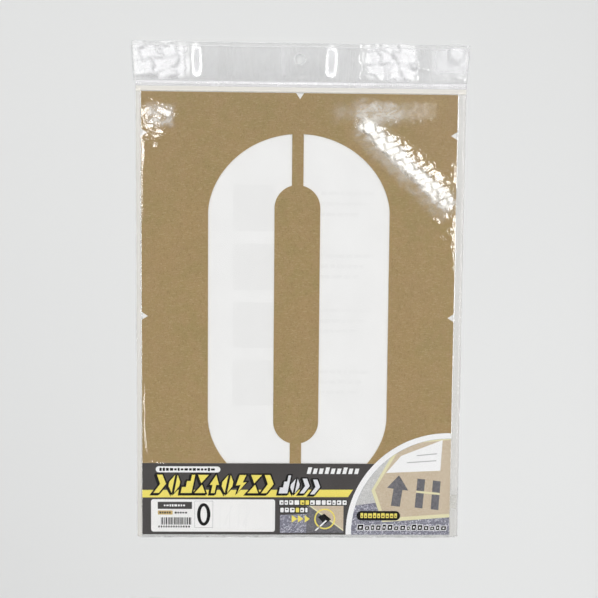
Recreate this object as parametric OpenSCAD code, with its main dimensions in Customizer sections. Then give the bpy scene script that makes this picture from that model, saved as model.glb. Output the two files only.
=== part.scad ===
// Lettering stencil for spraying a tall figure, in its clear header bag.
// The pack lies on its back: X runs across the bag, Y from the open mouth
// (with the folded closing flap) up to the hanging header, Z is up through
// the stack of sheets. The origin is the middle of the footprint, on the
// surface that the pack lies on. All sizes are in millimetres.

/* [Stencil plate] */
// Width of the kraft board sheet
plate_w = 257; // [240:1:258]
// Height of the kraft board sheet
plate_h = 364; // [340:1:364]
// Thickness of the kraft board
plate_t = 1.0; // [0.6:0.1:1.0]
// Width of a V shaped alignment notch at the sheet's edge
notch_w = 6.5; // [4:0.5:10]
// Depth of a V shaped alignment notch
notch_d = 5; // [3:0.5:8]

/* [Cut figure] */
// Width over the outside of the figure
fig_w = 148.6; // [120:0.2:170]
// Height over the outside of the figure
fig_h = 298; // [240:1:310]
// How far each rounded end of the figure rises above the straight sides
fig_end = 64.5; // [60:0.5:74]
// Fullness of the rounded ends: 2 is a plain ellipse
fig_full = 1.85; // [1.7:0.05:2.2]
// Shift of the figure's middle from the sheet's middle along the sheet
fig_dy = 0.2; // [-2:0.1:2]
// Width of the island inside the figure
island_w = 37.4; // [30:0.1:44]
// Height of the island inside the figure
island_h = 213.9; // [180:0.1:230]
// Width of the bridges that hold the island
bridge_w = 9.4; // [6:0.2:14]
// Shift of the island and bridges from the sheet's middle across the sheet
island_dx = -1.4; // [-3:0.1:3]
// Shift of the island's middle from the sheet's middle along the sheet
island_dy = 1; // [-2:0.1:2]

/* [Label card] */
// Height of the card's straight band
label_band_h = 60.4; // [50:0.1:70]
// Radius of the round shoulder at the right end of the card
label_r = 85; // [70:1:90]
// Thickness of the card
label_t = 0.3; // [0.2:0.05:0.3]

/* [Contents sticker] */
// Width of the white sticker
sticker_w = 103.2; // [80:0.2:110]
// Height of the white sticker
sticker_h = 27.5; // [20:0.5:32]
// Corner radius of the white sticker
sticker_r = 2; // [1:0.5:4]
// Thickness of the white sticker
sticker_t = 0.1; // [0.05:0.05:0.1]

/* [Backing sheet] */
// Width of the white backing sheet
backing_w = 256; // [240:1:257]
// Height of the white backing sheet
backing_h = 363; // [340:1:364]
// Thickness of the white backing sheet
backing_t = 0.25; // [0.1:0.05:0.25]

/* [Bag] */
// Width over the bag's two side welds
bag_w = 270; // [266:1:272]
// Length of the whole bag with its header
bag_len = 407; // [404:1:412]
// Height of the header strip above the seal
header_h = 30.6; // [29:0.2:32]
// Width of the header strip at its top edge
header_top_w = 274; // [268:1:276]
// Height of the crimped seal band below the header strip
seal_h = 4.8; // [4:0.2:6]
// Thickness of the clear film
film_t = 0.1; // [0.05:0.05:0.1]
// Width of the fused bead along each side
weld_w = 0.6; // [0.4:0.1:1.0]

/* [Hang hole] */
// Diameter of the punched hang hole
hole_d = 8; // [6:0.5:10]
// Distance of the hang hole's centre below the header's top edge
hole_down = 13.4; // [10:0.1:18]
// Shift of the hang hole's centre across the bag
hole_dx = -2.5; // [-4:0.1:4]

/* [Closing flap] */
// Length of the closing flap behind the bag
flap_len = 40; // [30:1:60]
// Width of the adhesive strip on the flap
glue_w = 12; // [8:1:20]

/* [Hidden] */
$fn = 96;

// The stack of sheets, from the surface upwards
z_flap = 0;
z_glue = z_flap + film_t;
glue_t = 0.05;
z_back = 0.2;
z_backing = z_back + film_t + 0.05;
z_plate = 0.65;
z_label = z_plate + 1.05;
z_sticker = z_label + label_t;
z_front = 2.2;
z_top = z_front + film_t;

// Where the sheets lie in the bag
plate_cx = -2.0;
plate_cy = -18.5;
mouth_y = -bag_len / 2;
top_y = bag_len / 2;
seal_top = top_y - header_h;
seal_bot = seal_top - seal_h;
label_x0 = plate_cx - plate_w / 2;
label_x1 = plate_cx + plate_w / 2;
label_y0 = plate_cy - plate_h / 2 - 0.8;
label_cx = label_x1 - 2.3;
label_cy = label_y0 + 1.6;
sticker_x0 = label_x0 + 7.3;
sticker_y0 = label_y0 + 2.4;
film_x = bag_w / 2 - weld_w;
film_y0 = mouth_y + 0.1;
back_y0 = mouth_y + 0.4;
crease_y = mouth_y + 0.05;

// Half of a rounded end's outline, counterclockwise from angle a0 to a1
function end_x(a) = sign(cos(a)) * sqrt(max(0, 1 - pow(abs(sin(a)), fig_full)));
function end_arc(rx, ry, cy, a0, a1, n) =
    [for (i = [0:n]) let (a = a0 + (a1 - a0) * i / n) [rx * end_x(a), cy + ry * sin(a)]];

// The figure's outer outline: straight sides and two rounded ends
fig_pts = concat(
    end_arc(fig_w / 2, fig_end, fig_h / 2 - fig_end, 0, 180, 72),
    end_arc(fig_w / 2, fig_end, -(fig_h / 2 - fig_end), 180, 360, 72));

// Everything that stays inside the figure: the island and its two bridges
module island_and_bridges(h) {
    translate([island_dx, 0, 0]) {
        for (s = [-1, 1])
            translate([0, island_dy + s * (island_h - island_w) / 2, -1])
                cylinder(d = island_w, h = h + 2);
        translate([-island_w / 2, island_dy - (island_h - island_w) / 2, -1])
            cube([island_w, island_h - island_w, h + 2]);
        translate([-bridge_w / 2, -fig_h / 2 - 10, -1])
            cube([bridge_w, fig_h + 20, h + 2]);
    }
}

// The two windows of the figure, as one cutting body
module figure_windows(h) {
    difference() {
        translate([0, fig_dy, -0.5]) linear_extrude(height = h + 1) polygon(fig_pts);
        island_and_bridges(h);
    }
}

// One alignment notch at the origin, cutting towards -Y
module notch(h) {
    translate([0, 0, -0.5]) linear_extrude(height = h + 1)
        polygon([[-notch_w / 2 - 0.65, 1], [notch_w / 2 + 0.65, 1], [0, -notch_d]]);
}

// A thin film whose underside runs through four levels: flat over the
// sheets, and sloping down to the bag's sides and to the header seal
module film_tray() {
    xi = film_x - 2.2;
    yi = seal_bot - 4;
    zl = z_back + film_t;
    under = [
        [-film_x, film_y0, zl], [-xi, film_y0, z_front], [xi, film_y0, z_front], [film_x, film_y0, zl],
        [-film_x, seal_bot, zl], [-xi, yi, z_front], [xi, yi, z_front], [film_x, seal_bot, zl]];
    pts = concat(under, [for (p = under) [p[0], p[1], p[2] + film_t]]);
    polyhedron(points = pts, faces = [
        // underside
        [0, 1, 5, 4], [1, 2, 6, 5], [2, 3, 7, 6], [4, 5, 6, 7],
        // upper side
        [8, 12, 13, 9], [9, 13, 14, 10], [10, 14, 15, 11], [12, 15, 14, 13],
        // mouth edge
        [0, 8, 9, 1], [1, 9, 10, 2], [2, 10, 11, 3],
        // right edge, seal edge, left edge
        [3, 11, 15, 7], [7, 15, 12, 4], [4, 12, 8, 0]], convexity = 4);
}

module stencil_plate() {
    color([0.64, 0.545, 0.39]) translate([plate_cx, plate_cy, z_plate])
        difference() {
            translate([-plate_w / 2, -plate_h / 2, 0]) cube([plate_w, plate_h, plate_t]);
            figure_windows(plate_t);
            translate([0, plate_h / 2, 0]) notch(plate_t);
            translate([0, -plate_h / 2, 0]) rotate([0, 0, 180]) notch(plate_t);
            for (y = [-fig_h / 2, 0, fig_h / 2]) {
                translate([plate_w / 2, y, 0]) rotate([0, 0, -90]) notch(plate_t);
                translate([-plate_w / 2, y, 0]) rotate([0, 0, 90]) notch(plate_t);
            }
        }
}

module backing_sheet() {
    color([0.93, 0.93, 0.92])
        translate([plate_cx - backing_w / 2, plate_cy - backing_h / 2, z_backing])
            cube([backing_w, backing_h, backing_t]);
}

module label_card() {
    color([0.33, 0.32, 0.33]) translate([0, 0, z_label])
        intersection() {
            union() {
                translate([label_x0, label_y0, 0]) cube([label_x1 - label_x0, label_band_h, label_t]);
                translate([label_cx, label_cy, 0]) cylinder(r = label_r, h = label_t, $fn = 180);
            }
            translate([label_x0, label_y0, -1])
                cube([label_x1 - label_x0, 2 * label_r, label_t + 2]);
        }
}

module contents_sticker() {
    r = sticker_r;
    color([0.96, 0.96, 0.95]) translate([sticker_x0, sticker_y0, z_sticker])
        union() {
            translate([r, 0, 0]) cube([sticker_w - 2 * r, sticker_h, sticker_t]);
            translate([0, r, 0]) cube([sticker_w, sticker_h - 2 * r, sticker_t]);
            for (x = [r, sticker_w - r], y = [r, sticker_h - r])
                translate([x, y, 0]) cylinder(r = r, h = sticker_t, $fn = 32);
        }
}

module bag_front_film() {
    color([0.85, 0.87, 0.88, 0.25]) union() {
        film_tray();
        // The part of the front film that is crimped onto the back film
        translate([-film_x, seal_bot - 0.02, z_back + film_t])
            cube([2 * film_x, seal_h + 0.02, film_t]);
    }
}

module bag_back_film() {
    color([0.85, 0.87, 0.88, 0.25])
        translate([-film_x, back_y0, z_back])
            cube([2 * film_x, seal_top - back_y0, film_t]);
}

module header_strip() {
    color([0.84, 0.85, 0.85, 0.4]) difference() {
        translate([0, 0, z_back]) linear_extrude(height = 2 * film_t)
            polygon([[-bag_w / 2, seal_top], [bag_w / 2, seal_top],
                     [header_top_w / 2, top_y], [-header_top_w / 2, top_y]]);
        translate([hole_dx, top_y - hole_down, z_back - 1])
            cylinder(d = hole_d, h = 2 * film_t + 2);
    }
}

// The fused bead along one side, from the mouth to the header
module side_weld(x) {
    translate([x, back_y0, z_back]) cube([weld_w, seal_top - back_y0, 2 * film_t]);
}

module side_weld_left() { color([0.9, 0.91, 0.92, 0.6]) side_weld(-bag_w / 2); }
module side_weld_right() { color([0.9, 0.91, 0.92, 0.6]) side_weld(film_x); }

// The short web of film that closes the mouth between the two creases
module flap_crease() {
    color([0.85, 0.87, 0.88, 0.25])
        translate([-film_x + 0.2, crease_y - film_t / 2, z_flap + film_t + 0.05])
            cube([2 * film_x - 0.4, film_t, z_front - z_flap - film_t - 0.1]);
}

module closing_flap() {
    color([0.85, 0.87, 0.88, 0.25])
        translate([-film_x, mouth_y + 0.15, z_flap])
            cube([2 * film_x, flap_len - 0.15, film_t]);
}

module flap_adhesive_strip() {
    color([0.8, 0.82, 0.8, 0.5])
        translate([-film_x + 2, mouth_y + flap_len - glue_w - 4, z_glue])
            cube([2 * film_x - 4, glue_w, glue_t]);
}

stencil_plate();
backing_sheet();
label_card();
contents_sticker();
bag_front_film();
bag_back_film();
header_strip();
side_weld_left();
side_weld_right();
flap_crease();
closing_flap();
flap_adhesive_strip();
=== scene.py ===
"""Looks of a packed lettering stencil: kraft board with a tall cut figure, white backing
sheet, printed label card and sticker, in a clear film bag with a hanging header.
All lengths inside the helper functions are millimetres in the model's own frame."""

import math

import bpy
import numpy as np
from mathutils import Matrix, Vector
from mathutils.geometry import delaunay_2d_cdt, tessellate_polygon


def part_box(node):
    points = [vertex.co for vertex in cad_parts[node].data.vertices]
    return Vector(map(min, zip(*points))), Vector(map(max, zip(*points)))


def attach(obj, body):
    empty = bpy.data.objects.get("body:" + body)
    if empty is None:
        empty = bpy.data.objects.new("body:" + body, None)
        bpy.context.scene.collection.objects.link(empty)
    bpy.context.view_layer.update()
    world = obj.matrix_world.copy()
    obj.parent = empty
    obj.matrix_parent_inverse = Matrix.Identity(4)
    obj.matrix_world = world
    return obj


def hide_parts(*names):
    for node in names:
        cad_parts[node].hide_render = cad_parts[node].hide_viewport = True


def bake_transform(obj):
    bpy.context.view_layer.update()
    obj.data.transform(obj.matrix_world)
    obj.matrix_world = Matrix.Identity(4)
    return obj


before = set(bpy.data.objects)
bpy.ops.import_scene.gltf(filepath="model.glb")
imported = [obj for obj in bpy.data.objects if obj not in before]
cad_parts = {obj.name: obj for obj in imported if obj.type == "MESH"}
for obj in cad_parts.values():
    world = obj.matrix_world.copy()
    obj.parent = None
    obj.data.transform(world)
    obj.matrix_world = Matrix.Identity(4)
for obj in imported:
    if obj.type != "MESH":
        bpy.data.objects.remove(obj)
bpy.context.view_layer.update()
scene = bpy.context.scene
MM = 0.001

# ------------------------------------------------------------------ camera
CAM = np.array([-11.56856, 28.53975, 576.643])
VIEW = np.array([0.01751371, -0.05575292, -0.99829098])
UP = np.array([-0.00778827, 0.99840622, -0.05589599])
VIEW = VIEW / np.linalg.norm(VIEW)
RIGHT = np.cross(VIEW, UP)
RIGHT = RIGHT / np.linalg.norm(RIGHT)
UP = np.cross(RIGHT, VIEW)
FOCAL = 700.0

camera_data = bpy.data.cameras.new("camera")
camera = bpy.data.objects.new("camera", camera_data)
scene.collection.objects.link(camera)
camera_data.sensor_width = 36.0
camera_data.lens = 36.0 * FOCAL / 598.0
camera_data.clip_start = 0.01
camera_data.clip_end = 20.0
camera.matrix_world = Matrix((
    (RIGHT[0], UP[0], -VIEW[0], CAM[0] * MM),
    (RIGHT[1], UP[1], -VIEW[1], CAM[1] * MM),
    (RIGHT[2], UP[2], -VIEW[2], CAM[2] * MM),
    (0, 0, 0, 1)))
scene.camera = camera


def pt(px, py, z=2.0):
    """The point at height z that the camera sees at this place of the 598 x 598 picture."""
    d = VIEW + (px - 299.0) / FOCAL * RIGHT - (py - 299.0) / FOCAL * UP
    t = (z - CAM[2]) / d[2]
    p = CAM + t * d
    return float(p[0]), float(p[1])


# ------------------------------------------------------------------ numbers of the model
def node_box(name):
    lo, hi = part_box(name)
    return [v * 1000 for v in lo], [v * 1000 for v in hi]


PLATE_LO, PLATE_HI = node_box("stencil_plate")
BACKING_LO, BACKING_HI = node_box("backing_sheet")
LABEL_LO, LABEL_HI = node_box("label_card")
STICKER_LO, STICKER_HI = node_box("contents_sticker")
FRONT_LO, FRONT_HI = node_box("bag_front_film")
BACK_LO, BACK_HI = node_box("bag_back_film")
HEAD_LO, HEAD_HI = node_box("header_strip")
FLAP_LO, FLAP_HI = node_box("closing_flap")
GLUE_LO, GLUE_HI = node_box("flap_adhesive_strip")
PLATE_CX = (PLATE_LO[0] + PLATE_HI[0]) / 2
PLATE_CY = (PLATE_LO[1] + PLATE_HI[1]) / 2
SEAL_TOP = HEAD_LO[1]
SEAL_BOT = SEAL_TOP - 4.8
FILM_L, FILM_R = FRONT_LO[0] - 0.45, FRONT_HI[0] - 0.85
MOUTH_Y = FRONT_LO[1]
LABEL_CX, LABEL_CY, LABEL_R, RING_R = LABEL_HI[0] - 2.3, LABEL_LO[1] + 1.6, 85.0, 80.4
LABEL_BAND = LABEL_LO[1] + 60.4
HOLE = (-2.5, 190.1, 4.0)
FILM_T = 0.06
HEAD_L, HEAD_R = -136.6, 133.6


# ------------------------------------------------------------------ small numeric helpers
def step(a, b, t):
    t = np.clip((np.asarray(t, float) - a) / (b - a), 0, 1)
    return t * t * (3 - 2 * t)


def lattice(seed, n=256):
    return np.random.RandomState(seed).uniform(-1, 1, (n, n))


TABLES = {}


def table_of(seed):
    if seed not in TABLES:
        TABLES[seed] = lattice(seed)
    return TABLES[seed]


def noise2(x, y, seed):
    """Smooth value noise from -1 to 1, one cell per unit."""
    t = table_of(seed)
    n = t.shape[0]
    x, y = np.broadcast_arrays(np.asarray(x, float), np.asarray(y, float))
    xi, yi = np.floor(x).astype(int), np.floor(y).astype(int)
    fx, fy = x - xi, y - yi
    u, v = fx * fx * fx * (fx * (fx * 6 - 15) + 10), fy * fy * fy * (fy * (fy * 6 - 15) + 10)
    a, b = t[yi % n, xi % n], t[yi % n, (xi + 1) % n]
    c, d = t[(yi + 1) % n, xi % n], t[(yi + 1) % n, (xi + 1) % n]
    return (a * (1 - u) + b * u) * (1 - v) + (c * (1 - u) + d * u) * v


def fbm(x, y, seed, octaves=3, gain=0.5):
    total, amp, norm = 0, 1.0, 0.0
    for i in range(octaves):
        total = total + amp * noise2(x * 2 ** i + 17.3 * i, y * 2 ** i - 9.1 * i, seed + i)
        norm += amp
        amp *= gain
    return total / norm


def soft(v, r):
    """max(v, 0) with a rounded foot of size r."""
    return 0.5 * (v + np.sqrt(v * v + r * r)) - 0.5 * r * np.exp(-np.abs(v) / r)


def along(x, y, p0, p1):
    """(t, q): place along the line p0 p1 from 0 to 1, and the distance to its left in mm."""
    dx, dy = p1[0] - p0[0], p1[1] - p0[1]
    length = math.hypot(dx, dy)
    ux, uy = dx / length, dy / length
    return ((x - p0[0]) * ux + (y - p0[1]) * uy) / length, -(x - p0[0]) * uy + (y - p0[1]) * ux


# ------------------------------------------------------------------ mesh helpers
def make_object(name, verts, faces, material, smooth=False):
    mesh = bpy.data.meshes.new(name)
    mesh.from_pydata([tuple(v) for v in (np.asarray(verts, float) * MM).tolist()], [], faces)
    mesh.update()
    if smooth:
        mesh.polygons.foreach_set("use_smooth", [True] * len(mesh.polygons))
    mesh.materials.append(material)
    ob = bpy.data.objects.new(name, mesh)
    scene.collection.objects.link(ob)
    return ob


def grid_shell(name, px, py, top, thick, material, smooth=True):
    """A closed film: px, py and top are (rows, columns) arrays of its upper side."""
    ny, nx = px.shape
    n = nx * ny
    upper = np.stack([px.ravel(), py.ravel(), top.ravel()], 1)
    lower = upper.copy()
    lower[:, 2] -= np.broadcast_to(thick, (ny, nx)).ravel() if np.ndim(thick) else thick
    ids = np.arange(n).reshape(ny, nx)
    a, b = ids[:-1, :-1].ravel(), ids[:-1, 1:].ravel()
    c, d = ids[1:, 1:].ravel(), ids[1:, :-1].ravel()
    faces = np.stack([a, b, c, d], 1).tolist() + np.stack([d + n, c + n, b + n, a + n], 1).tolist()
    rim = list(ids[0, :]) + list(ids[1:, -1]) + list(ids[-1, -2::-1]) + list(ids[-2:0:-1, 0])
    rim = [int(i) for i in rim]
    for i, j in zip(rim, rim[1:] + rim[:1]):
        faces.append([i, i + n, j + n, j])
    return make_object(name, np.concatenate([upper, lower]), faces, material, smooth)


def area2(p):
    return sum(p[i][0] * p[(i + 1) % len(p)][1] - p[(i + 1) % len(p)][0] * p[i][1] for i in range(len(p)))


def ccw(p):
    return list(p) if area2(p) > 0 else list(reversed(p))


def cw(p):
    return list(p) if area2(p) < 0 else list(reversed(p))


class Batch:
    """Collects closed flat slabs of one finish, and makes one object of them."""

    def __init__(self):
        self.verts, self.faces = [], []

    def slab(self, outer, z0, z1, holes=()):
        loops = [ccw(outer)] + [cw(h) for h in holes]
        flat = [p for loop in loops for p in loop]
        base, n = len(self.verts), len(flat)
        self.verts += [(p[0], p[1], z1) for p in flat] + [(p[0], p[1], z0) for p in flat]
        tris = tessellate_polygon([[Vector((p[0], p[1], 0)) for p in loop] for loop in loops])
        for a, b, c in tris:
            pa, pb, pc = flat[a], flat[b], flat[c]
            turn = (pb[0] - pa[0]) * (pc[1] - pa[1]) - (pb[1] - pa[1]) * (pc[0] - pa[0])
            if abs(turn) < 1e-9:
                continue
            if turn < 0:
                b, c = c, b
            self.faces.append([base + a, base + b, base + c])
            self.faces.append([base + n + c, base + n + b, base + n + a])
        start = 0
        for loop in loops:
            m = len(loop)
            for i in range(m):
                p, q = start + i, start + (i + 1) % m
                self.faces.append([base + p, base + n + p, base + n + q, base + q])
            start += m
        return self

    def make(self, name, material, body, slot):
        ob = make_object(name, self.verts, self.faces, material)
        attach(ob, body)
        return ob


def clip_half(poly, nx, ny, d):
    """The part of a polygon where x * nx + y * ny <= d."""
    out = []
    for i, p in enumerate(poly):
        q = poly[(i + 1) % len(poly)]
        sp, sq = p[0] * nx + p[1] * ny - d, q[0] * nx + q[1] * ny - d
        if sp <= 0:
            out.append(p)
        if (sp < 0 < sq) or (sq < 0 < sp):
            t = sp / (sp - sq)
            out.append((p[0] + t * (q[0] - p[0]), p[1] + t * (q[1] - p[1])))
    return out


def clip_to(poly, region):
    """Clips a polygon to a convex counterclockwise region."""
    region = ccw(region)
    for i, p in enumerate(region):
        q = region[(i + 1) % len(region)]
        nx, ny = q[1] - p[1], -(q[0] - p[0])
        poly = clip_half(poly, nx, ny, nx * p[0] + ny * p[1])
        if len(poly) < 3:
            return []
    out = []
    for p in poly:
        if not out or math.hypot(p[0] - out[-1][0], p[1] - out[-1][1]) > 1e-4:
            out.append(p)
    if len(out) > 2 and math.hypot(out[0][0] - out[-1][0], out[0][1] - out[-1][1]) < 1e-4:
        out.pop()
    return out if len(out) > 2 and abs(area2(out)) > 0.02 else []


def grown(poly, d):
    """The polygon moved outwards by d, with its sharp corners limited."""
    poly = ccw(poly)
    out = []
    for i, p in enumerate(poly):
        a, b = poly[i - 1], poly[(i + 1) % len(poly)]
        e1 = (p[0] - a[0], p[1] - a[1])
        e2 = (b[0] - p[0], b[1] - p[1])
        l1, l2 = math.hypot(*e1), math.hypot(*e2)
        n1, n2 = (e1[1] / l1, -e1[0] / l1), (e2[1] / l2, -e2[0] / l2)
        m = (n1[0] + n2[0], n1[1] + n2[1])
        k = max(0.35, (m[0] * m[0] + m[1] * m[1]) / 2)
        out.append((p[0] + m[0] * d / k, p[1] + m[1] * d / k))
    return out


def ring_pts(cx, cy, rx, ry, n=48, a0=0.0, a1=360.0, whole=True):
    count = n if whole else n + 1
    return [(cx + rx * math.cos(math.radians(a0 + (a1 - a0) * i / n)),
             cy + ry * math.sin(math.radians(a0 + (a1 - a0) * i / n))) for i in range(count)]


def rounded(x0, y0, x1, y1, r, n=5):
    r = min(r, (x1 - x0) / 2 - 1e-3, (y1 - y0) / 2 - 1e-3)
    out = []
    for cx, cy, a in ((x1 - r, y0 + r, -90), (x1 - r, y1 - r, 0), (x0 + r, y1 - r, 90), (x0 + r, y0 + r, 180)):
        out += [(cx + r * math.cos(math.radians(a + 90 * i / n)), cy + r * math.sin(math.radians(a + 90 * i / n)))
                for i in range(n + 1)]
    return out


def leaning(x0, y0, w, h, lean, shape):
    """A shape given in a unit square, set into a box whose sides lean to the right."""
    return [(x0 + u * w + v * h * lean, y0 + v * h) for u, v in shape]


# ------------------------------------------------------------------ material helpers
class Graph:
    def __init__(self, name):
        self.mat = bpy.data.materials.new(name)
        self.mat.use_nodes = True
        self.tree = self.mat.node_tree
        self.tree.nodes.clear()
        self.out = self.tree.nodes.new("ShaderNodeOutputMaterial")

    def put(self, sock, value):
        if isinstance(value, bpy.types.NodeSocket):
            self.tree.links.new(value, sock)
        else:
            sock.default_value = value

    def node(self, kind, ins=None, **attrs):
        made = self.tree.nodes.new(kind)
        for k, v in attrs.items():
            setattr(made, k, v)
        for k, v in (ins or {}).items():
            self.put(made.inputs[k], v)
        return made

    def coords(self, scale=1000.0, stretch=(1, 1, 1)):
        tc = self.node("ShaderNodeTexCoord")
        return self.node("ShaderNodeMapping", {"Vector": tc.outputs["Object"],
                                               "Scale": tuple(scale * s for s in stretch)}).outputs[0]

    def noise(self, vec, scale, detail=2.0, rough=0.5, warp=0.0):
        return self.node("ShaderNodeTexNoise", {"Vector": vec, "Scale": scale, "Detail": detail,
                                                "Roughness": rough, "Distortion": warp}).outputs[0]

    def math(self, op, a, b=0.0, clamp=False):
        made = self.node("ShaderNodeMath", operation=op, use_clamp=clamp)
        self.put(made.inputs[0], a)
        self.put(made.inputs[1], b)
        return made.outputs[0]

    def remap(self, v, a, b, c=0.0, d=1.0, kind="SMOOTHSTEP"):
        return self.node("ShaderNodeMapRange", {"Value": v, "From Min": a, "From Max": b, "To Min": c, "To Max": d},
                         interpolation_type=kind).outputs[0]

    def mix(self, fac, a, b, blend="MIX"):
        made = self.node("ShaderNodeMix", data_type="RGBA", blend_type=blend)
        self.put(made.inputs[0], fac)
        self.put(made.inputs[6], a)
        self.put(made.inputs[7], b)
        return made.outputs[2]

    def bump(self, height, strength, distance, normal=None):
        ins = {"Height": height, "Strength": strength, "Distance": distance}
        if normal is not None:
            ins["Normal"] = normal
        return self.node("ShaderNodeBump", ins).outputs[0]

    def mirror(self, face_on, normal):
        """Share of light that a plastic side mirrors, the same from both of its sides."""
        lean = self.node("ShaderNodeLayerWeight", {"Blend": 0.5, "Normal": normal}).outputs["Facing"]
        return self.math("ADD", self.math("MULTIPLY", self.math("POWER", lean, 5.0), 1.0 - face_on), face_on, clamp=True)

    def facing(self):
        """How flat the surface lies in its own frame: 1 on top and bottom, 0 on a cut edge."""
        tc = self.node("ShaderNodeTexCoord")
        sep = self.node("ShaderNodeSeparateXYZ", {"Vector": tc.outputs["Normal"]})
        return sep.outputs[2]

    def window(self, x0, x1, y0, y1, soft, wobble=0.0):
        """1 inside a box of the model's own millimetres, 0 outside, over soft mm."""
        sep = self.node("ShaderNodeSeparateXYZ", {"Vector": self.coords()})
        x, y = sep.outputs[0], sep.outputs[1]
        if wobble:
            shake = self.math("MULTIPLY", self.math("SUBTRACT", self.noise(self.coords(), 0.16, 3.0, 0.6), 0.5), wobble)
            x, y = self.math("ADD", x, shake), self.math("ADD", y, shake)
        out = None
        for v, a, b in ((x, x0, x0 + soft), (x, x1, x1 - soft), (y, y0, y0 + soft), (y, y1, y1 - soft)):
            if a is None:
                continue
            part = self.remap(v, a, b) if b > a else self.math("SUBTRACT", 1.0, self.remap(v, b, a))
            out = part if out is None else self.math("MULTIPLY", out, part)
        return out

    def lane(self, a, b, half, soft, wobble=0.0):
        """1 along the line from a to b and half mm to each side of it, in the model's millimetres."""
        length = math.hypot(b[0] - a[0], b[1] - a[1])
        ux, uy = (b[0] - a[0]) / length, (b[1] - a[1]) / length
        sep = self.node("ShaderNodeSeparateXYZ", {"Vector": self.coords()})
        shake = self.math("MULTIPLY", self.math("SUBTRACT", self.noise(self.coords(), 0.16, 3.0, 0.6), 0.5), wobble)
        x = self.math("ADD", self.math("SUBTRACT", sep.outputs[0], a[0]), shake)
        y = self.math("ADD", self.math("SUBTRACT", sep.outputs[1], a[1]), shake)
        t = self.math("ADD", self.math("MULTIPLY", x, ux), self.math("MULTIPLY", y, uy))
        q = self.math("ABSOLUTE", self.math("SUBTRACT", self.math("MULTIPLY", y, ux), self.math("MULTIPLY", x, uy)))
        ends = self.math("MULTIPLY", self.remap(t, 0.0, soft), self.remap(t, length - soft, length, 1.0, 0.0))
        return self.math("MULTIPLY", ends, self.remap(q, half - soft, half, 1.0, 0.0))

    def finish(self, shader):
        self.tree.links.new(shader, self.out.inputs["Surface"])
        return self.mat


def rgb(r, g, b):
    return (r, g, b, 1.0)


def kraft_material():
    g = Graph("kraft_board")
    mm = g.coords()
    fine = g.noise(g.coords(stretch=(0.34, 1.25, 1)), 1.0, 2.0, 0.6, 0.4)
    cross = g.noise(g.coords(stretch=(1.1, 0.5, 1)), 0.9, 2.0, 0.6, 0.5)
    micro = g.noise(g.coords(stretch=(0.8, 2.4, 1)), 1.0, 2.0, 0.6, 0.3)
    cloud = g.noise(mm, 0.03, 3.0, 0.6)
    patch = g.noise(mm, 0.12, 2.0, 0.55)
    fleck = g.noise(mm, 1.3, 2.0, 0.7)
    drift = g.noise(g.coords(stretch=(1, 0.7, 1)), 0.018, 2.0, 0.5)
    base = g.mix(g.remap(cloud, 0.35, 0.65), rgb(0.358, 0.269, 0.113), rgb(0.396, 0.283, 0.124))
    base = g.mix(g.remap(drift, 0.4, 0.62, 0.0, 0.6), base, rgb(0.398, 0.272, 0.128))
    base = g.mix(g.remap(patch, 0.4, 0.65, 0.0, 0.6), base, rgb(0.405, 0.276, 0.136))
    base = g.mix(g.remap(fine, 0.5, 0.68, 0.0, 0.65), base, rgb(0.49, 0.375, 0.2))
    base = g.mix(g.remap(cross, 0.5, 0.7, 0.0, 0.6), base, rgb(0.295, 0.205, 0.085))
    base = g.mix(g.remap(micro, 0.5, 0.75, 0.0, 0.45), base, rgb(0.33, 0.225, 0.09))
    base = g.mix(g.remap(fleck, 0.62, 0.74, 0.0, 0.6), base, rgb(0.21, 0.135, 0.055))
    # Painted shade: the board's colour darkens by 4.5 % from y = 20 to y = 165 mm, standing in for light that falls off
    # towards its top
    sep = g.node("ShaderNodeSeparateXYZ", {"Vector": mm})
    painted_top_shade = g.remap(sep.outputs[1], 20.0, 165.0, 1.0, 0.955)
    base = g.node("ShaderNodeVectorMath", {0: base, "Scale": painted_top_shade}, operation="SCALE").outputs[0]
    edge = g.math("ABSOLUTE", g.facing())
    cut = g.noise(g.coords(stretch=(1, 1, 9)), 1.2, 3.0, 0.6)
    cut_colour = g.mix(g.remap(cut, 0.35, 0.7), rgb(0.52, 0.4, 0.24), rgb(0.78, 0.68, 0.5))
    colour = g.mix(g.remap(edge, 0.6, 0.95, 1.0, 0.0), base, cut_colour)
    rough = g.remap(fine, 0.2, 0.8, 0.7, 0.9, "LINEAR")
    fibres = g.math("ADD", g.math("MULTIPLY", fine, 0.6), g.math("MULTIPLY", cross, 0.4))
    normal = g.bump(fibres, 0.35, 0.00012)
    p = g.node("ShaderNodeBsdfPrincipled", {"Base Color": colour, "Roughness": rough, "Normal": normal,
                                            "Specular IOR Level": 0.25})
    return g.finish(p.outputs[0])


def paper_material(name, tint=(0.9, 0.9, 0.893), rough=0.55, strength=0.15, grey_back=None):
    g = Graph(name)
    mm = g.coords()
    fibre = g.noise(mm, 1.4, 3.0, 0.6, 0.3)
    cloud = g.noise(mm, 0.03, 2.0, 0.5)
    dull = tuple(c * 0.975 for c in tint)
    colour = g.mix(g.remap(cloud, 0.3, 0.7), rgb(*tint), rgb(*dull))
    colour = g.mix(g.remap(fibre, 0.55, 0.85, 0.0, 0.35), colour, rgb(*[c * 0.94 for c in tint]))
    if grey_back:
        colour = g.mix(g.remap(g.facing(), -0.9, -0.5, 1.0, 0.0), colour, rgb(*grey_back))
    p = g.node("ShaderNodeBsdfPrincipled", {
        "Base Color": colour, "Roughness": g.remap(fibre, 0.2, 0.8, rough - 0.08, rough + 0.1, "LINEAR"),
        "Normal": g.bump(fibre, strength, 0.00004), "Specular IOR Level": 0.35})
    return g.finish(p.outputs[0])


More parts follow.
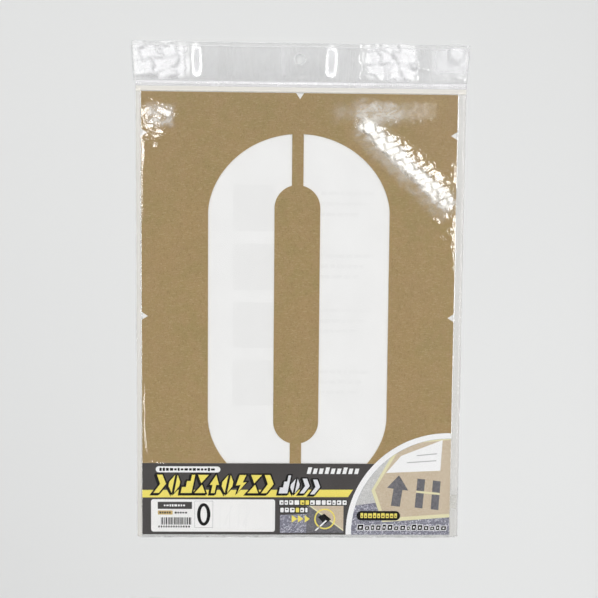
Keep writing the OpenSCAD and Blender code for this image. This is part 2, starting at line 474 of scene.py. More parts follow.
def ink_material(name, colour, other=None, rough=0.38, grain=0.5, scale=2.6, speckle=0.0, speck=(0, 0, 0)):
    """Printing ink on coated card: a fine halftone mottle and faint clouds."""
    g = Graph(name)
    mm = g.coords()
    other = other or tuple(min(1.0, c * 1.12 + 0.004) for c in colour)
    dots = g.noise(mm, scale, 2.0, 0.65)
    cloud = g.noise(mm, 0.09, 3.0, 0.55)
    tone = g.mix(g.remap(dots, 0.35, 0.65, 0.0, grain), rgb(*colour), rgb(*other))
    tone = g.mix(g.remap(cloud, 0.35, 0.7, 0.0, 0.35), tone, rgb(*other))
    if speckle:
        spots = g.noise(mm, 0.75, 4.0, 0.75, 0.6)
        tone = g.mix(g.remap(spots, 0.5, 0.64, 0.0, speckle), tone, rgb(*speck))
    p = g.node("ShaderNodeBsdfPrincipled", {
        "Base Color": tone, "Roughness": g.remap(dots, 0.2, 0.8, rough - 0.05, rough + 0.08, "LINEAR"),
        "Normal": g.bump(dots, 0.1, 0.00002), "Specular IOR Level": 0.12})
    return g.finish(p.outputs[0])


def card_material():
    g = Graph("printed_card")
    mm = g.coords()
    dots = g.noise(mm, 2.4, 2.0, 0.65)
    cloud = g.noise(mm, 0.05, 3.0, 0.5)
    scuff = g.noise(g.coords(stretch=(0.12, 1.6, 1)), 1.0, 4.0, 0.7, 0.6)
    top = g.mix(g.remap(dots, 0.35, 0.65, 0.0, 0.6), rgb(0.066, 0.06, 0.058), rgb(0.082, 0.076, 0.074))
    top = g.mix(g.remap(cloud, 0.35, 0.7, 0.0, 0.5), top, rgb(0.078, 0.071, 0.072))
    top = g.mix(g.remap(scuff, 0.68, 0.82, 0.0, 0.18), top, rgb(0.2, 0.19, 0.19))
    core = g.mix(g.remap(dots, 0.3, 0.7), rgb(0.66, 0.65, 0.62), rgb(0.74, 0.73, 0.7))
    up = g.facing()
    colour = g.mix(g.remap(up, 0.6, 0.9), core, top)
    p = g.node("ShaderNodeBsdfPrincipled", {
        "Base Color": colour, "Roughness": g.remap(dots, 0.2, 0.8, 0.34, 0.46, "LINEAR"),
        "Normal": g.bump(dots, 0.12, 0.00003), "Specular IOR Level": 0.12})
    return g.finish(p.outputs[0])


def film_material(name, face_on=0.039, rough=0.045, haze=0.004, tint=(0.997, 0.997, 0.997), crinkle=0.25,
                  haze_tint=(0.9, 0.91, 0.92), dull=(), pale=(), rim=None, painted_glare_lanes=()):
    """Thin clear film: what is behind shows unbent, and each side mirrors as plastic does.
    dull and pale list boxes (x0, x1, y0, y1, soft, wobble, by): dull where it is more matt, pale where a diffuse white
    veil is added, which is painted glare standing in for soft reflections and, on the sealed band, partly the film's
    own haze."""
    g = Graph(name)
    mm = g.coords()
    micro = g.noise(mm, 0.55, 3.0, 0.6, 0.4)
    smear = g.noise(g.coords(stretch=(1, 0.25, 1)), 0.06, 4.0, 0.6, 0.8)
    normal = g.bump(micro, crinkle, 0.00006)
    fresnel = g.mirror(face_on, normal)
    clear = g.node("ShaderNodeBsdfTransparent", {"Color": rgb(*tint)})
    roughness = g.remap(smear, 0.3, 0.75, rough, rough * 1.7, "LINEAR")
    for x0, x1, y0, y1, soft_mm, wobble, by in dull:
        roughness = g.math("ADD", roughness, g.math("MULTIPLY", g.window(x0, x1, y0, y1, soft_mm, wobble), by))
    gloss = g.node("ShaderNodeBsdfGlossy", {"Color": rgb(1, 1, 1), "Normal": normal, "Roughness": roughness})
    haze_and_painted_glare = g.node("ShaderNodeBsdfDiffuse", {"Color": rgb(*haze_tint)})
    amount = g.remap(smear, 0.35, 0.8, haze * 0.4, haze * 1.6, "LINEAR")
    wisps = g.remap(g.noise(g.coords(stretch=(0.62, 1, 1)), 0.13, 6.0, 0.68, 0.9), 0.3, 0.66, 0.25, 1.45)
    # Painted glare: a diffuse white veil in the pale boxes and along the lanes, where soft reflections lie, broken up
    # by the wisps noise
    for x0, x1, y0, y1, soft_mm, wobble, by in pale:
        zone = g.window(x0, x1, y0, y1, soft_mm, wobble)
        if wobble > 4:
            zone = g.math("MULTIPLY", zone, wisps)
        amount = g.math("ADD", amount, g.math("MULTIPLY", zone, by))
    for a, b, half, soft_mm, wobble, by in painted_glare_lanes:
        zone = g.math("MULTIPLY", g.lane(a, b, half, soft_mm, wobble), wisps)
        amount = g.math("ADD", amount, g.math("MULTIPLY", zone, by))
    if rim is not None:
        amount = g.math("ADD", amount, g.math("MULTIPLY", rim(g), 0.4), clamp=True)
    veil = g.node("ShaderNodeMixShader")
    g.put(veil.inputs[0], amount)
    g.tree.links.new(clear.outputs[0], veil.inputs[1])
    g.tree.links.new(haze_and_painted_glare.outputs[0], veil.inputs[2])
    both = g.node("ShaderNodeMixShader")
    g.put(both.inputs[0], fresnel)
    g.tree.links.new(veil.outputs[0], both.inputs[1])
    g.tree.links.new(gloss.outputs[0], both.inputs[2])
    return g.finish(both.outputs[0])


def header_rim(y_top):
    """Marks the last half millimetre before a header layer's upper and end edges and its hole, where a white veil is
    added: a painted highlight along the cut edges, and the punched hole's pale rim.
    """
    def mask(g):
        sep = g.node("ShaderNodeSeparateXYZ", {"Vector": g.coords()})
        rise = g.math("MULTIPLY", g.math("SUBTRACT", sep.outputs[1], SEAL_TOP), 1.0 / 30.6)
        right = g.math("SUBTRACT", sep.outputs[0], g.math("ADD", g.math("MULTIPLY", rise, 2.0), HEAD_R))
        left = g.math("SUBTRACT", HEAD_L, g.math("ADD", sep.outputs[0], rise))
        over = g.math("MAXIMUM", left, right)
        up = g.math("SUBTRACT", sep.outputs[1], y_top)
        dx, dy = g.math("SUBTRACT", sep.outputs[0], HOLE[0]), g.math("SUBTRACT", sep.outputs[1], HOLE[1])
        away = g.math("SQRT", g.math("ADD", g.math("MULTIPLY", dx, dx), g.math("MULTIPLY", dy, dy)))
        punched = g.remap(away, HOLE[2] + 0.35, HOLE[2] + 0.75, 1.0, 0.0)
        return g.math("MAXIMUM", g.remap(g.math("MAXIMUM", over, up), -0.75, -0.35), punched)
    return mask


def glue_material():
    g = Graph("adhesive_film")
    mm = g.coords()
    blobs = g.noise(mm, 0.35, 4.0, 0.65, 1.2)
    streak = g.noise(g.coords(stretch=(0.05, 1.4, 1)), 1.0, 3.0, 0.6)
    normal = g.bump(blobs, 0.5, 0.0001)
    fresnel = g.mirror(0.034, normal)
    clear = g.node("ShaderNodeBsdfTransparent", {"Color": rgb(0.97, 0.97, 0.96)})
    body = g.node("ShaderNodeBsdfDiffuse", {"Color": g.mix(streak, rgb(0.82, 0.82, 0.77), rgb(0.9, 0.9, 0.87))})
    veil = g.node("ShaderNodeMixShader")
    g.put(veil.inputs[0], g.remap(blobs, 0.3, 0.7, 0.12, 0.34, "LINEAR"))
    g.tree.links.new(clear.outputs[0], veil.inputs[1])
    g.tree.links.new(body.outputs[0], veil.inputs[2])
    gloss = g.node("ShaderNodeBsdfGlossy", {"Color": rgb(1, 1, 1), "Roughness": 0.22, "Normal": normal})
    both = g.node("ShaderNodeMixShader")
    g.put(both.inputs[0], fresnel)
    g.tree.links.new(veil.outputs[0], both.inputs[1])
    g.tree.links.new(gloss.outputs[0], both.inputs[2])
    return g.finish(both.outputs[0])


M_KRAFT = kraft_material()
M_PAPER = paper_material("backing_paper")
M_STICKER = paper_material("sticker_paper", (0.905, 0.9, 0.89), 0.42, 0.08)
M_CARD = card_material()
M_WHITE = ink_material("ink_white", (0.9, 0.9, 0.9), (0.92, 0.92, 0.92), grain=0.3)
M_SILVER = ink_material("ink_silver", (0.76, 0.76, 0.79), (0.84, 0.84, 0.87), grain=0.4)
M_YELLOW = ink_material("ink_yellow", (0.86, 0.74, 0.14), (0.9, 0.79, 0.2))
M_BLACK = ink_material("ink_black", (0.004, 0.0036, 0.0033), (0.008, 0.0075, 0.007), grain=0.4)
M_GREY = ink_material("ink_grey", (0.06, 0.056, 0.055), (0.085, 0.08, 0.078))
M_LINE = ink_material("ink_thin_grey", (0.4, 0.4, 0.4), (0.46, 0.46, 0.46))
M_TAN = ink_material("ink_tan", (0.6, 0.44, 0.17), (0.66, 0.5, 0.22))
M_GROUND = ink_material("ink_ground", (0.13, 0.13, 0.17), (0.27, 0.27, 0.33), grain=1.0, scale=1.0, speckle=0.95, speck=(0.74, 0.74, 0.82))
M_PALE = ink_material("ink_pale_ground", (0.5, 0.5, 0.49), (0.66, 0.655, 0.645), grain=0.9, scale=1.1, speckle=0.6, speck=(0.84, 0.83, 0.83))
M_BOARD = ink_material("ink_board", (0.56, 0.45, 0.32), (0.66, 0.57, 0.44), grain=0.8, scale=1.1, speckle=0.35, speck=(0.74, 0.68, 0.56))
M_TAPE = ink_material("ink_tape", (0.76, 0.72, 0.46), (0.82, 0.78, 0.54), grain=0.4)
M_MARK = ink_material("ink_mark", (0.1, 0.098, 0.11), (0.2, 0.195, 0.21), grain=0.9, scale=1.2, speckle=0.35, speck=(0.36, 0.36, 0.4))
M_GHOST = ink_material("ink_ghost", (0.856, 0.856, 0.849), (0.87, 0.87, 0.863), grain=0.2)
M_FRAME = ink_material("ink_frame", (0.55, 0.58, 0.62), (0.62, 0.65, 0.68), grain=0.3)
# The pale boxes and the glare lanes give this film a warm white veil: painted glare and painted reflection over the
# upper corners, along the long fold, above the seal and on both side margins
M_FRONT = film_material("clear_film", rough=0.055, crinkle=0.1, haze_tint=(0.965, 0.935, 0.875),
                        dull=((36, 112, 139, 161, 8, 9, 0.3), (-131, -97, 135, 161, 6, 5, 0.05)),
                        pale=((20, 108, 136.5, 160.5, 14, 12, 0.1), (38, 84, 134.5, 161, 11, 12, 0.24),
                              (-129, -101, 133, 156, 7, 9, 0.3), (-140, 140, 163.6, 165.2, 0.6, 0, 0.16),
                              (-140, 140, 164.0, 170, 0.8, 0, 0.42), (-136, -130.6, -205, 166, 0.7, 0, 0.3),
                              (126.6, 136, -205, 166, 0.7, 0, 0.12)),
                        painted_glare_lanes=((pt(360, 119), pt(453, 209), 8.0, 5.5, 5, 0.7), (pt(356, 120), pt(455, 216), 16.0, 11.0, 8, 0.15)))
M_FOLD = film_material("folded_film", haze=0.75, rough=0.12, crinkle=0.3, haze_tint=(0.96, 0.96, 0.97))
M_BACK = film_material("clear_film_back", haze=0.004)
HEADER_DULL = ((-138, -90, 172, 204, 2, 0, 0.24), (46, 95, 172, 204, 3, 0, 0.22), (100, 138, 172, 204, 6, 0, 0.28))
# Boxes of painted glare on the header: a white veil where soft reflections lie on its buckles and crumpled ends
HEADER_PAINTED_GLARE = ((-136, -93, 176, 202, 5, 7, 0.3), (-130, -98, 172, 190, 5, 9, 0.22), (50, 96, 176, 204, 8, 9, 0.34), (64, 90, 172, 192, 5, 9, 0.28),
               (104, 137, 178, 203, 7, 4, 0.2), (-90, -81, 175, 200, 3.5, 2, 0.22), (18, 28, 175, 200, 3.5, 2, 0.22), (-19, -12, 174, 203, 3, 2, 0.06))
M_HEADER_BACK = film_material("header_film_back", haze=0.1, rough=0.08, crinkle=0.12, haze_tint=(0.95, 0.95, 0.96),
                              dull=HEADER_DULL, pale=HEADER_PAINTED_GLARE, rim=header_rim(HEAD_HI[1]))
M_HEADER_FRONT = film_material("header_film_front", haze=0.1, rough=0.08, crinkle=0.12, haze_tint=(0.95, 0.95, 0.96),
                               dull=HEADER_DULL, pale=HEADER_PAINTED_GLARE, rim=header_rim(HEAD_HI[1] - 3.2))
M_WELD = film_material("fused_film", haze=0.5, rough=0.1, crinkle=0.4, tint=(0.99, 0.99, 0.99), haze_tint=(0.96, 0.96, 0.97))
# The two pale strips along the seal's edges are painted highlight lines, laid over the sealed film's own haze
M_SEAL = film_material("sealed_film", haze=0.26, rough=0.06, crinkle=0.2, haze_tint=(0.95, 0.94, 0.96),
                       pale=((-140, 140, SEAL_TOP - 2.6, SEAL_TOP - 0.2, 0.5, 0, 0.3), (-140, 140, SEAL_BOT + 0.3, SEAL_BOT + 1.6, 0.4, 0, 0.12)))
M_GLUE = glue_material()


# ------------------------------------------------------------------ stencil board
def window_outline(side):
    """One window of the figure in the sheet's own frame, side -1 left or 1 right."""
    fig_w, fig_h, rise, full, dy = 148.6, 298.0, 64.5, 1.85, 0.2
    isl_w, isl_h, dx, idy, bridge = 37.4, 213.9, -1.4, 1.0, 9.4
    bx = dx + side * bridge / 2
    ir = isl_w / 2
    half = fig_h / 2 - rise
    outer = []
    a_top = math.degrees(math.asin((1 - (bx / (fig_w / 2)) ** 2) ** (1 / full)))
    if side < 0:
        a_top = 180 - a_top

    def at(a, sign):
        """A point of the upper (1) or lower (-1) rounded end."""
        c, s = math.cos(math.radians(a)), math.sin(math.radians(a))
        x = math.copysign(fig_w / 2 * math.sqrt(max(0.0, 1 - abs(s) ** full)), c)
        return (x, dy + sign * half + rise * s)

    if side > 0:
        outer += [at(a, 1) for a in np.linspace(a_top, 0, 49)] + [at(a, -1) for a in np.linspace(0, -a_top, 49)]
    else:
        outer += [at(a, 1) for a in np.linspace(a_top, 180, 49)] + [at(a, -1) for a in np.linspace(180, 360 - a_top, 49)]
    cy = isl_h / 2 - ir
    start = math.degrees(math.acos(bridge / 2 / ir))
    inner = []
    for a in np.linspace(-start, 0, 25):
        inner.append((dx + side * ir * math.cos(math.radians(a)), idy - cy + ir * math.sin(math.radians(a))))
    for a in np.linspace(0, start, 25):
        inner.append((dx + side * ir * math.cos(math.radians(a)), idy + cy + ir * math.sin(math.radians(a))))
    return outer + inner


def sheet_outline():
    w, h, nw, nd = 257.0, 364.0, 6.5 / 2, 5.0
    xs, ys = w / 2, h / 2
    pts = [(-xs, -ys), (-nw, -ys), (0, -ys + nd), (nw, -ys), (xs, -ys)]
    for y in (-149.0, 0.0, 149.0):
        pts += [(xs, y - nw), (xs - nd, y), (xs, y + nw)]
    pts += [(xs, ys), (nw, ys), (0, ys - nd), (-nw, ys), (-xs, ys)]
    for y in (149.0, 0.0, -149.0):
        pts += [(-xs, y + nw), (-xs + nd, y), (-xs, y - nw)]
    return pts


def bevelled_sheet(name, outer, holes, z0, z1, roll, material):
    """A sheet whose upper cut edges are rolled over by roll mm, as a cutting die leaves them."""
    loops = [ccw(outer)] + [cw(h) for h in holes]
    verts, faces, starts = [], [], []
    rings = [(0.05, z0), (0.0, z0 + 0.06), (0.0, z1 - roll), (roll * 0.3, z1 - roll * 0.3), (roll, z1)]
    tops = []
    for loop in loops:
        base = len(verts)
        m = len(loop)
        starts.append((base, m))
        for off, z in rings:
            moved = shifted(loop, off)
            verts += [(p[0] + PLATE_CX, p[1] + PLATE_CY, z) for p in moved]
        for k in range(len(rings) - 1):
            for i in range(m):
                j = (i + 1) % m
                a, b = base + k * m + i, base + k * m + j
                faces.append([a, b, b + m, a + m])
        tops.append(shifted(loop, roll))
    for level, flip in ((0, True), (len(rings) - 1, False)):
        polys = [shifted(loop, rings[level][0]) for loop in loops]
        index = [base + level * m + i for (base, m) in starts for i in range(m)]
        flat = [p for poly in polys for p in poly]
        for a, b, c in tessellate_polygon([[Vector((p[0], p[1], 0)) for p in poly] for poly in polys]):
            pa, pb, pc = flat[a], flat[b], flat[c]
            turn = (pb[0] - pa[0]) * (pc[1] - pa[1]) - (pb[1] - pa[1]) * (pc[0] - pa[0])
            if abs(turn) < 1e-9:
                continue
            if (turn < 0) != flip:
                b, c = c, b
            faces.append([index[a], index[b], index[c]])
    return make_object(name, verts, faces, material)


def shifted(loop, d):
    """A loop moved into the material by d: inwards for a counterclockwise one, outwards for a hole."""
    out = []
    for i, p in enumerate(loop):
        a, b = loop[i - 1], loop[(i + 1) % len(loop)]
        e1, e2 = (p[0] - a[0], p[1] - a[1]), (b[0] - p[0], b[1] - p[1])
        l1, l2 = math.hypot(*e1), math.hypot(*e2)
        n1, n2 = (-e1[1] / l1, e1[0] / l1), (-e2[1] / l2, e2[0] / l2)
        m = (n1[0] + n2[0], n1[1] + n2[1])
        k = max(0.4, (m[0] * m[0] + m[1] * m[1]) / 2)
        out.append((p[0] + m[0] * d / k, p[1] + m[1] * d / k))
    return out


plate = bevelled_sheet("stencil_board", sheet_outline(), [window_outline(-1), window_outline(1)],
                       PLATE_LO[2], PLATE_HI[2], 0.28, M_KRAFT)
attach(plate, "plate")
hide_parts("stencil_plate")

# ------------------------------------------------------------------ backing sheet and its prints
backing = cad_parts["backing_sheet"]
backing.data.materials.clear()
backing.data.materials.append(M_PAPER)

back_ink, back_soft = Batch(), Batch()
zb = BACKING_LO[2]
bx0, by0 = BACKING_LO[0], BACKING_LO[1]
rng = np.random.RandomState(11)
for row in range(4):
    y1 = 108 - row * 48.0 + PLATE_CY
    x0, x1 = -58.0 + PLATE_CX, -18.0 + PLATE_CX
    frame_out, frame_in = rounded(x0, y1 - 38, x1, y1, 2), rounded(x0 + 0.5, y1 - 37.5, x1 - 0.5, y1 - 0.5, 1.6)
    back_ink.slab(frame_out, zb - 0.015, zb + 0.004, [frame_in])
    cx, cy = (x0 + x1) / 2, y1 - 19
    if row == 0:
        back_soft.slab(rounded(cx - 11, cy - 14, cx + 11, cy + 14, 1), zb - 0.015, zb + 0.004,
                       [ring_pts(cx, cy, 5, 10, 32)])
    elif row == 1:
        back_soft.slab(rounded(cx - 14, cy - 3, cx + 14, cy + 3, 1), zb - 0.015, zb + 0.004)
        back_soft.slab(rounded(cx - 3, cy + 5, cx + 3, cy + 14, 1), zb - 0.015, zb + 0.004)
    elif row == 2:
        back_soft.slab([(cx - 12, cy - 11), (cx + 12, cy - 11), (cx, cy + 12)], zb - 0.015, zb + 0.004)
    else:
        back_soft.slab(ring_pts(cx, cy, 12, 12, 40), zb - 0.015, zb + 0.004, [ring_pts(cx, cy, 8, 8, 40)])
    for k in range(6):
        length = 46 - (14 * rng.rand() if k % 3 == 2 else 3 * rng.rand())
        yy = y1 - 4 - k * 5.6
        x = 16.0 + PLATE_CX
        end = x + length
        while x < end:
            w = 1.6 + 3.2 * rng.rand()
            back_ink.slab(rounded(x, yy - 1.8, min(end, x + w), yy, 0.4, 2), zb - 0.015, zb + 0.004)
            x += w + 1.1
back_ink.slab(rounded(-62 + PLATE_CX, 120 + PLATE_CY, 66 + PLATE_CX, 131 + PLATE_CY, 1.5), zb - 0.015, zb + 0.004)
back_ink.make("backing_print_lines", M_GREY, "backing", "white_paper")
back_soft.make("backing_print_shapes", M_FRAME, "backing", "white_paper")

show = Batch()
zt = BACKING_HI[2]
for row in range(4):
    y1 = 108 - row * 48.0 + PLATE_CY
    show.slab(rounded(-54 + PLATE_CX, y1 - 38, -20 + PLATE_CX, y1, 1.5), zt - 0.004, zt + 0.006)
    for k in range(3):
        yy = y1 - 5 - k * 8.6 - 3 * (row % 2)
        x, k_end = 18.0 + PLATE_CX, 60 - (k % 3) * 6 + PLATE_CX
        while x < k_end:
            w = 2.5 + 6.0 * rng.rand()
            show.slab(rounded(x, yy - 2.6 - 0.5 * rng.rand(), min(x + w, k_end + 1), yy, 0.5, 2), zt - 0.004, zt + 0.006)
            x += w + 1.4
show.make("backing_show_through", M_GHOST, "backing", "white_paper")

# ------------------------------------------------------------------ label card
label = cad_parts["label_card"]
label.data.materials.clear()
label.data.materials.append(M_CARD)

Z0 = LABEL_HI[2]
L = [Z0 - 0.01, Z0 + 0.006, Z0 + 0.010, Z0 + 0.014, Z0 + 0.018, Z0 + 0.022]
white, silver, yellow, black = Batch(), Batch(), Batch(), Batch()
ground, board, tape, mark, tan, thin = Batch(), Batch(), Batch(), Batch(), Batch(), Batch()
grey, pale = Batch(), Batch()

# the picture's quarter circle, its ring and the ground
LX1, LY0 = LABEL_HI[0] - 0.05, LABEL_LO[1] + 0.05


def sector(r):
    pts = ring_pts(LABEL_CX, LABEL_CY, r, r, 96)
    pts = clip_half(pts, 1, 0, LX1)
    return clip_half(pts, 0, -1, -LY0)


SECTOR = sector(RING_R)
outer_arc = [p for p in ring_pts(LABEL_CX, LABEL_CY, LABEL_R - 0.05, LABEL_R - 0.05, 96)]
ring_sector = sector(LABEL_R - 0.05)
inner_sector = sector(RING_R - 0.2)
white.slab(ring_sector, L[0], L[1])
ground.slab(sector(RING_R), L[0], L[2])


def in_picture(batch, poly, z0, z1):
    cut = clip_to(poly, inner_sector)
    if cut:
        batch.slab(cut, z0, z1)


# a generic layout: a board with an arrow and bars painted through it, and a sheet of paper
in_picture(tape, [(60.5, -163.5), (84.0, -121.5), (130.0, -117.0), (130.0, -186.0), (70.0, -190.5)], L[0], L[3])
in_picture(board, [(63.5, -163.0), (85.8, -124.2), (130.0, -120.0), (130.0, -183.0), (71.8, -187.0)], L[0], L[4])
in_picture(pale, [(36.0, -178.0), (36.0, -100.0), (96.0, -100.0), (84.0, -121.5), (60.5, -163.5), (64.0, -174.0)], L[0], L[2] + 0.001)
in_picture(white, [(85.0, -134.0), (119.5, -120.5), (118.0, -146.5), (72.5, -148.6)], L[0], L[4] + 0.002)
in_picture(thin, [(98.0, -133.5), (115.0, -131.8), (114.9, -132.5), (98.0, -134.2)], L[0], L[5] + 0.002)
in_picture(thin, [(90.0, -139.5), (114.6, -137.7), (114.5, -138.4), (90.0, -140.2)], L[0], L[5] + 0.002)
in_picture(mark, [(77.0, -176.5), (84.5, -177.3), (86.5, -163.0), (91.5, -163.6), (83.5, -150.5), (73.5, -161.2), (79.0, -162.0)], L[0], L[5])
in_picture(mark, [(97.0, -178.0), (103.5, -178.7), (105.5, -154.0), (99.0, -153.3)], L[0], L[5])
in_picture(mark, [(110.5, -179.4), (117.0, -180.1), (118.5, -155.6), (112.0, -154.8)], L[0], L[5])
in_picture(tape, [(98.0, -163.5), (117.8, -165.4), (117.8, -167.2), (98.0, -165.3)], L[0], L[5] + 0.003)

# yellow stripe, which ends at the ring
stripe = [(LABEL_LO[0] + 0.05, -169.96), (41.0, -169.2), (45.2, -162.9), (LABEL_LO[0] + 0.05, -163.6)]
yellow.slab(stripe, L[0], L[1])

# white pill with a row of plain dashes
white.slab(rounded(-119.3, -148.7, -65.7, -143.6, 2.5, 8), L[0], L[4])
x = -116.2
dash = np.random.RandomState(5)
while x < -69.5:
    w = 1.5 + 1.7 * dash.rand()
    h = 1.5 + 1.4 * dash.rand()
    black.slab(rounded(x, -146.15 - h / 2, x + w, -146.15 + h / 2, 0.3, 2), L[0], L[5])
    x += w + 0.85

# the title's place: a row of leaning blocks and chevrons
UNIT = {
    "chevron": [(0, 0), (0.5, 0), (1, 0.5), (0.5, 1), (0, 1), (0.46, 0.5)],
    "gem_l": [(0.42, 0.0), (0.42, 1.0), (0, 0.62), (0, 0.38)],
    "gem_r": [(0.64, 0.0), (1, 0.38), (1, 0.62), (0.64, 1)],
    "stairs": [(0, 0), (1, 0), (1, 1), (0.7, 1), (0.7, 0.66), (0.36, 0.66), (0.36, 0.33), (0, 0.33)],
    "bolt": [(0.3, 0), (0.98, 0.6), (0.62, 0.58), (0.82, 1), (0.2, 1), (0.05, 0.42), (0.48, 0.45)],
    "peak": [(0, 0), (1, 0), (0.55, 0.46)],
    "dip": [(0, 1), (0.45, 0.54), (1, 1)],
    "arrow": [(0.3, 0), (0.7, 0), (0.7, 0.45), (1, 0.45), (0.5, 1), (0, 0.45), (0.3, 0.45)],
    "block": [(0, 0), (1, 0), (1, 1), (0, 1)],
}
LEAN = 0.2
title = [("chevron",), ("gem_l", "gem_r"), ("stairs",), ("peak", "dip"), ("arrow",), ("gem_l", "gem_r"), ("bolt",),
         ("peak", "dip"), ("chevron",)]
tw, gap, th, ty = 9.0, 2.35, 15.4, -166.1
x = -121.3
for i, parts in enumerate(title):
    w = tw * (0.86 if parts[0] == "arrow" else 1.0)
    for p in parts:
        poly = leaning(x, ty, w, th, LEAN, UNIT[p])
        black.slab(grown(poly, 1.35), L[0], L[3])
        drop = [(a - 1.1, b - 1.0) for a, b in grown(poly, 1.15)]
        black.slab(drop, L[0], L[2] + 0.001)
        yellow.slab(poly, L[0], L[4])
    x += w + gap

# the white word's place: four silver shapes in the same style
x = -17.0
for i, parts in enumerate([("stairs",), ("gem_l", "gem_r"), ("chevron",), ("chevron",)]):
    w, h, y0 = 7.2, (15.2 if i == 0 else 12.6), (-166.2 if i < 3 else -167.0)
    for p in parts:
        poly = leaning(x, y0, w, h, LEAN, UNIT[p])
        black.slab(grown(poly, 1.15), L[0], L[3])
        drop = [(a - 1.0, b - 0.9) for a, b in grown(poly, 1.05)]
        black.slab(drop, L[0], L[2] + 0.001)
        silver.slab(poly, L[0], L[4])
    x += w + 1.5

# the maker's place: a plain row of leaning white dashes
for i in range(9):
    white.slab(leaning(6.2 + i * 4.95, -149.6, 3.2, 4.6 if i % 3 else 5.6, 0.25, UNIT["block"]), L[0], L[4])

# two rows of small outlined blocks right of the sticker
spot = np.random.RandomState(23)


def blocks(x0, x1, y0, h, fill, edge, zf=4, yellow_at=()):
    x, k = x0, 0
    while x < x1 - 1.5:
        w = min(x1 - x, 2.6 + 1.5 * spot.rand())
        poly = rounded(x, y0, x + w, y0 + h, 0.5, 2)
        edge.slab(grown(poly, 0.55), L[0], L[3])
        cut = []
        if w > 2.2 and spot.rand() > 0.35:
            cx, cy = x + w * (0.35 + 0.3 * spot.rand()), y0 + h * (0.35 + 0.3 * spot.rand())
            cut = [rounded(cx - w * 0.2, cy - h * 0.14, cx + w * 0.2, cy + h * 0.14, 0.2, 2)]
        (yellow if k in yellow_at else fill).slab(poly, L[0], L[zf], cut)
        x += w + 0.9
        k += 1


blocks(-16.3, 40.0, -175.9, 3.9, white, black, yellow_at=(4, 5))
blocks(-15.6, 7.2, -182.3, 3.9, white, black, yellow_at=(3,))

# three plain yellow arrowheads
for x0, x1 in ((-6.0, -1.2), (-0.85, 3.7), (4.8, 9.3)):
    if x1 < 6:
        yellow.slab([(x0, -191.1), (x1, -187.85), (x0, -184.6)], L[0], L[4])
ground.slab([(-15.8, -199.8), (6.4, -199.8), (6.4, -183.6), (-15.8, -184.6)], L[0], L[1])
yellow.slab([(1.9 + 3.0, -191.1), (6.1 + 3.0, -187.85), (1.9 + 3.0, -184.6)], L[0], L[5])

# small square picture with a yellow ring: plain diagonal fields
sq = [(6.7, -199.7), (37.4, -199.7), (37.4, -176.6), (6.7, -176.6)]
mark.slab(sq, L[0], L[1])
board.slab([(9.5, -176.7), (37.3, -176.7), (37.3, -197.5)], L[0], L[2])
tape.slab([(8.3, -176.7), (10.2, -176.7), (37.3, -196.9), (37.3, -198.3)], L[0], L[3])
yellow.slab(ring_pts(21.7, -187.9, 8.8, 8.8, 56), L[0], L[4], [ring_pts(21.7, -187.9, 7.6, 7.6, 56)])
black.slab([(15.9, -186.2), (21.2, -183.4), (27.0, -188.2), (21.6, -192.6)], L[0], L[3])
white.slab([(13.3, -197.6), (14.4, -198.2), (23.6, -189.6), (22.6, -188.8)], L[0], L[4])

# dark pill with plain dashes, and the row of outlined blocks below it
black.slab(rounded(48.35, -189.1, 84.9, -181.0, 4.0, 8), L[0], L[4] + 0.001)
x = 51.6
while x < 81.0:
    w = 2.1 + 1.4 * spot.rand()
    yellow.slab(rounded(x, -187.0, x + w, -183.2 + 0.5 * spot.rand(), 0.4, 2), L[0], L[5] + 0.001,
                [rounded(x + 0.6, -185.9, x + w - 0.6, -185.0, 0.15, 2)])
    x += w + 0.8
x = 49.0
while x < 119.5:
    w = 2.4 + 2.6 * spot.rand()
    h = 3.0 + 1.9 * spot.rand()
    poly = leaning(x, -197.2, w, h, 0.12, [(0, 0), (1, 0), (1, 1), (0, 1)])
    white.slab(grown(poly, 0.5), L[0], L[4] + 0.001)
    black.slab(poly, L[0], L[5] + 0.001, [leaning(x, -197.2, w, h, 0.12, [(0.3, 0.3), (0.7, 0.3), (0.7, 0.66), (0.3, 0.66)])])
    x += w + 1.6

white.make("label_print_white", M_WHITE, "label", "printed_card")
silver.make("label_print_silver", M_SILVER, "label", "printed_card")
yellow.make("label_print_yellow", M_YELLOW, "label", "printed_card")
black.make("label_print_black", M_BLACK, "label", "printed_card")
ground.make("label_print_ground", M_GROUND, "label", "printed_card")
pale.make("label_print_pale_ground", M_PALE, "label", "printed_card")
board.make("label_print_board", M_BOARD, "label", "printed_card")
tape.make("label_print_tape", M_TAPE, "label", "printed_card")
mark.make("label_print_marks", M_MARK, "label", "printed_card")
thin.make("label_print_lines", M_LINE, "label", "printed_card")

# ------------------------------------------------------------------ sticker and its prints
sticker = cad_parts["contents_sticker"]
sticker.data.materials.clear()
sticker.data.materials.append(M_STICKER)
S0 = STICKER_HI[2]
S = [S0 - 0.01, S0 + 0.006, S0 + 0.012, S0 + 0.016]
s_grey, s_black, s_white, s_tan, s_line, s_ghost = Batch(), Batch(), Batch(), Batch(), Batch(), Batch()
s_grey.slab(rounded(-117.7, -179.6, -89.2, -173.6, 0.3, 2), S[0], S[1])
bars = np.random.RandomState(41)
x = -112.6
while x < -94.6:
    w = 1.0 + 1.5 * bars.rand()
    h = 1.3 + 1.1 * bars.rand()
    s_white.slab(rounded(x, -176.6 - h / 2, x + w, -176.6 + h / 2, 0.25, 2), S[0], S[2])
    x += w + 0.7
s_tan.slab(rounded(-117.6, -184.4, -105.35, -181.0, 0.3, 2), S[0], S[1])
x = -116.3
while x < -107.0:
    w = 0.9 + 0.9 * bars.rand()
    s_grey.slab(rounded(x, -183.5, x + w, -181.9, 0.2, 2), S[0], S[2])
    x += w + 0.6
x = -103.6
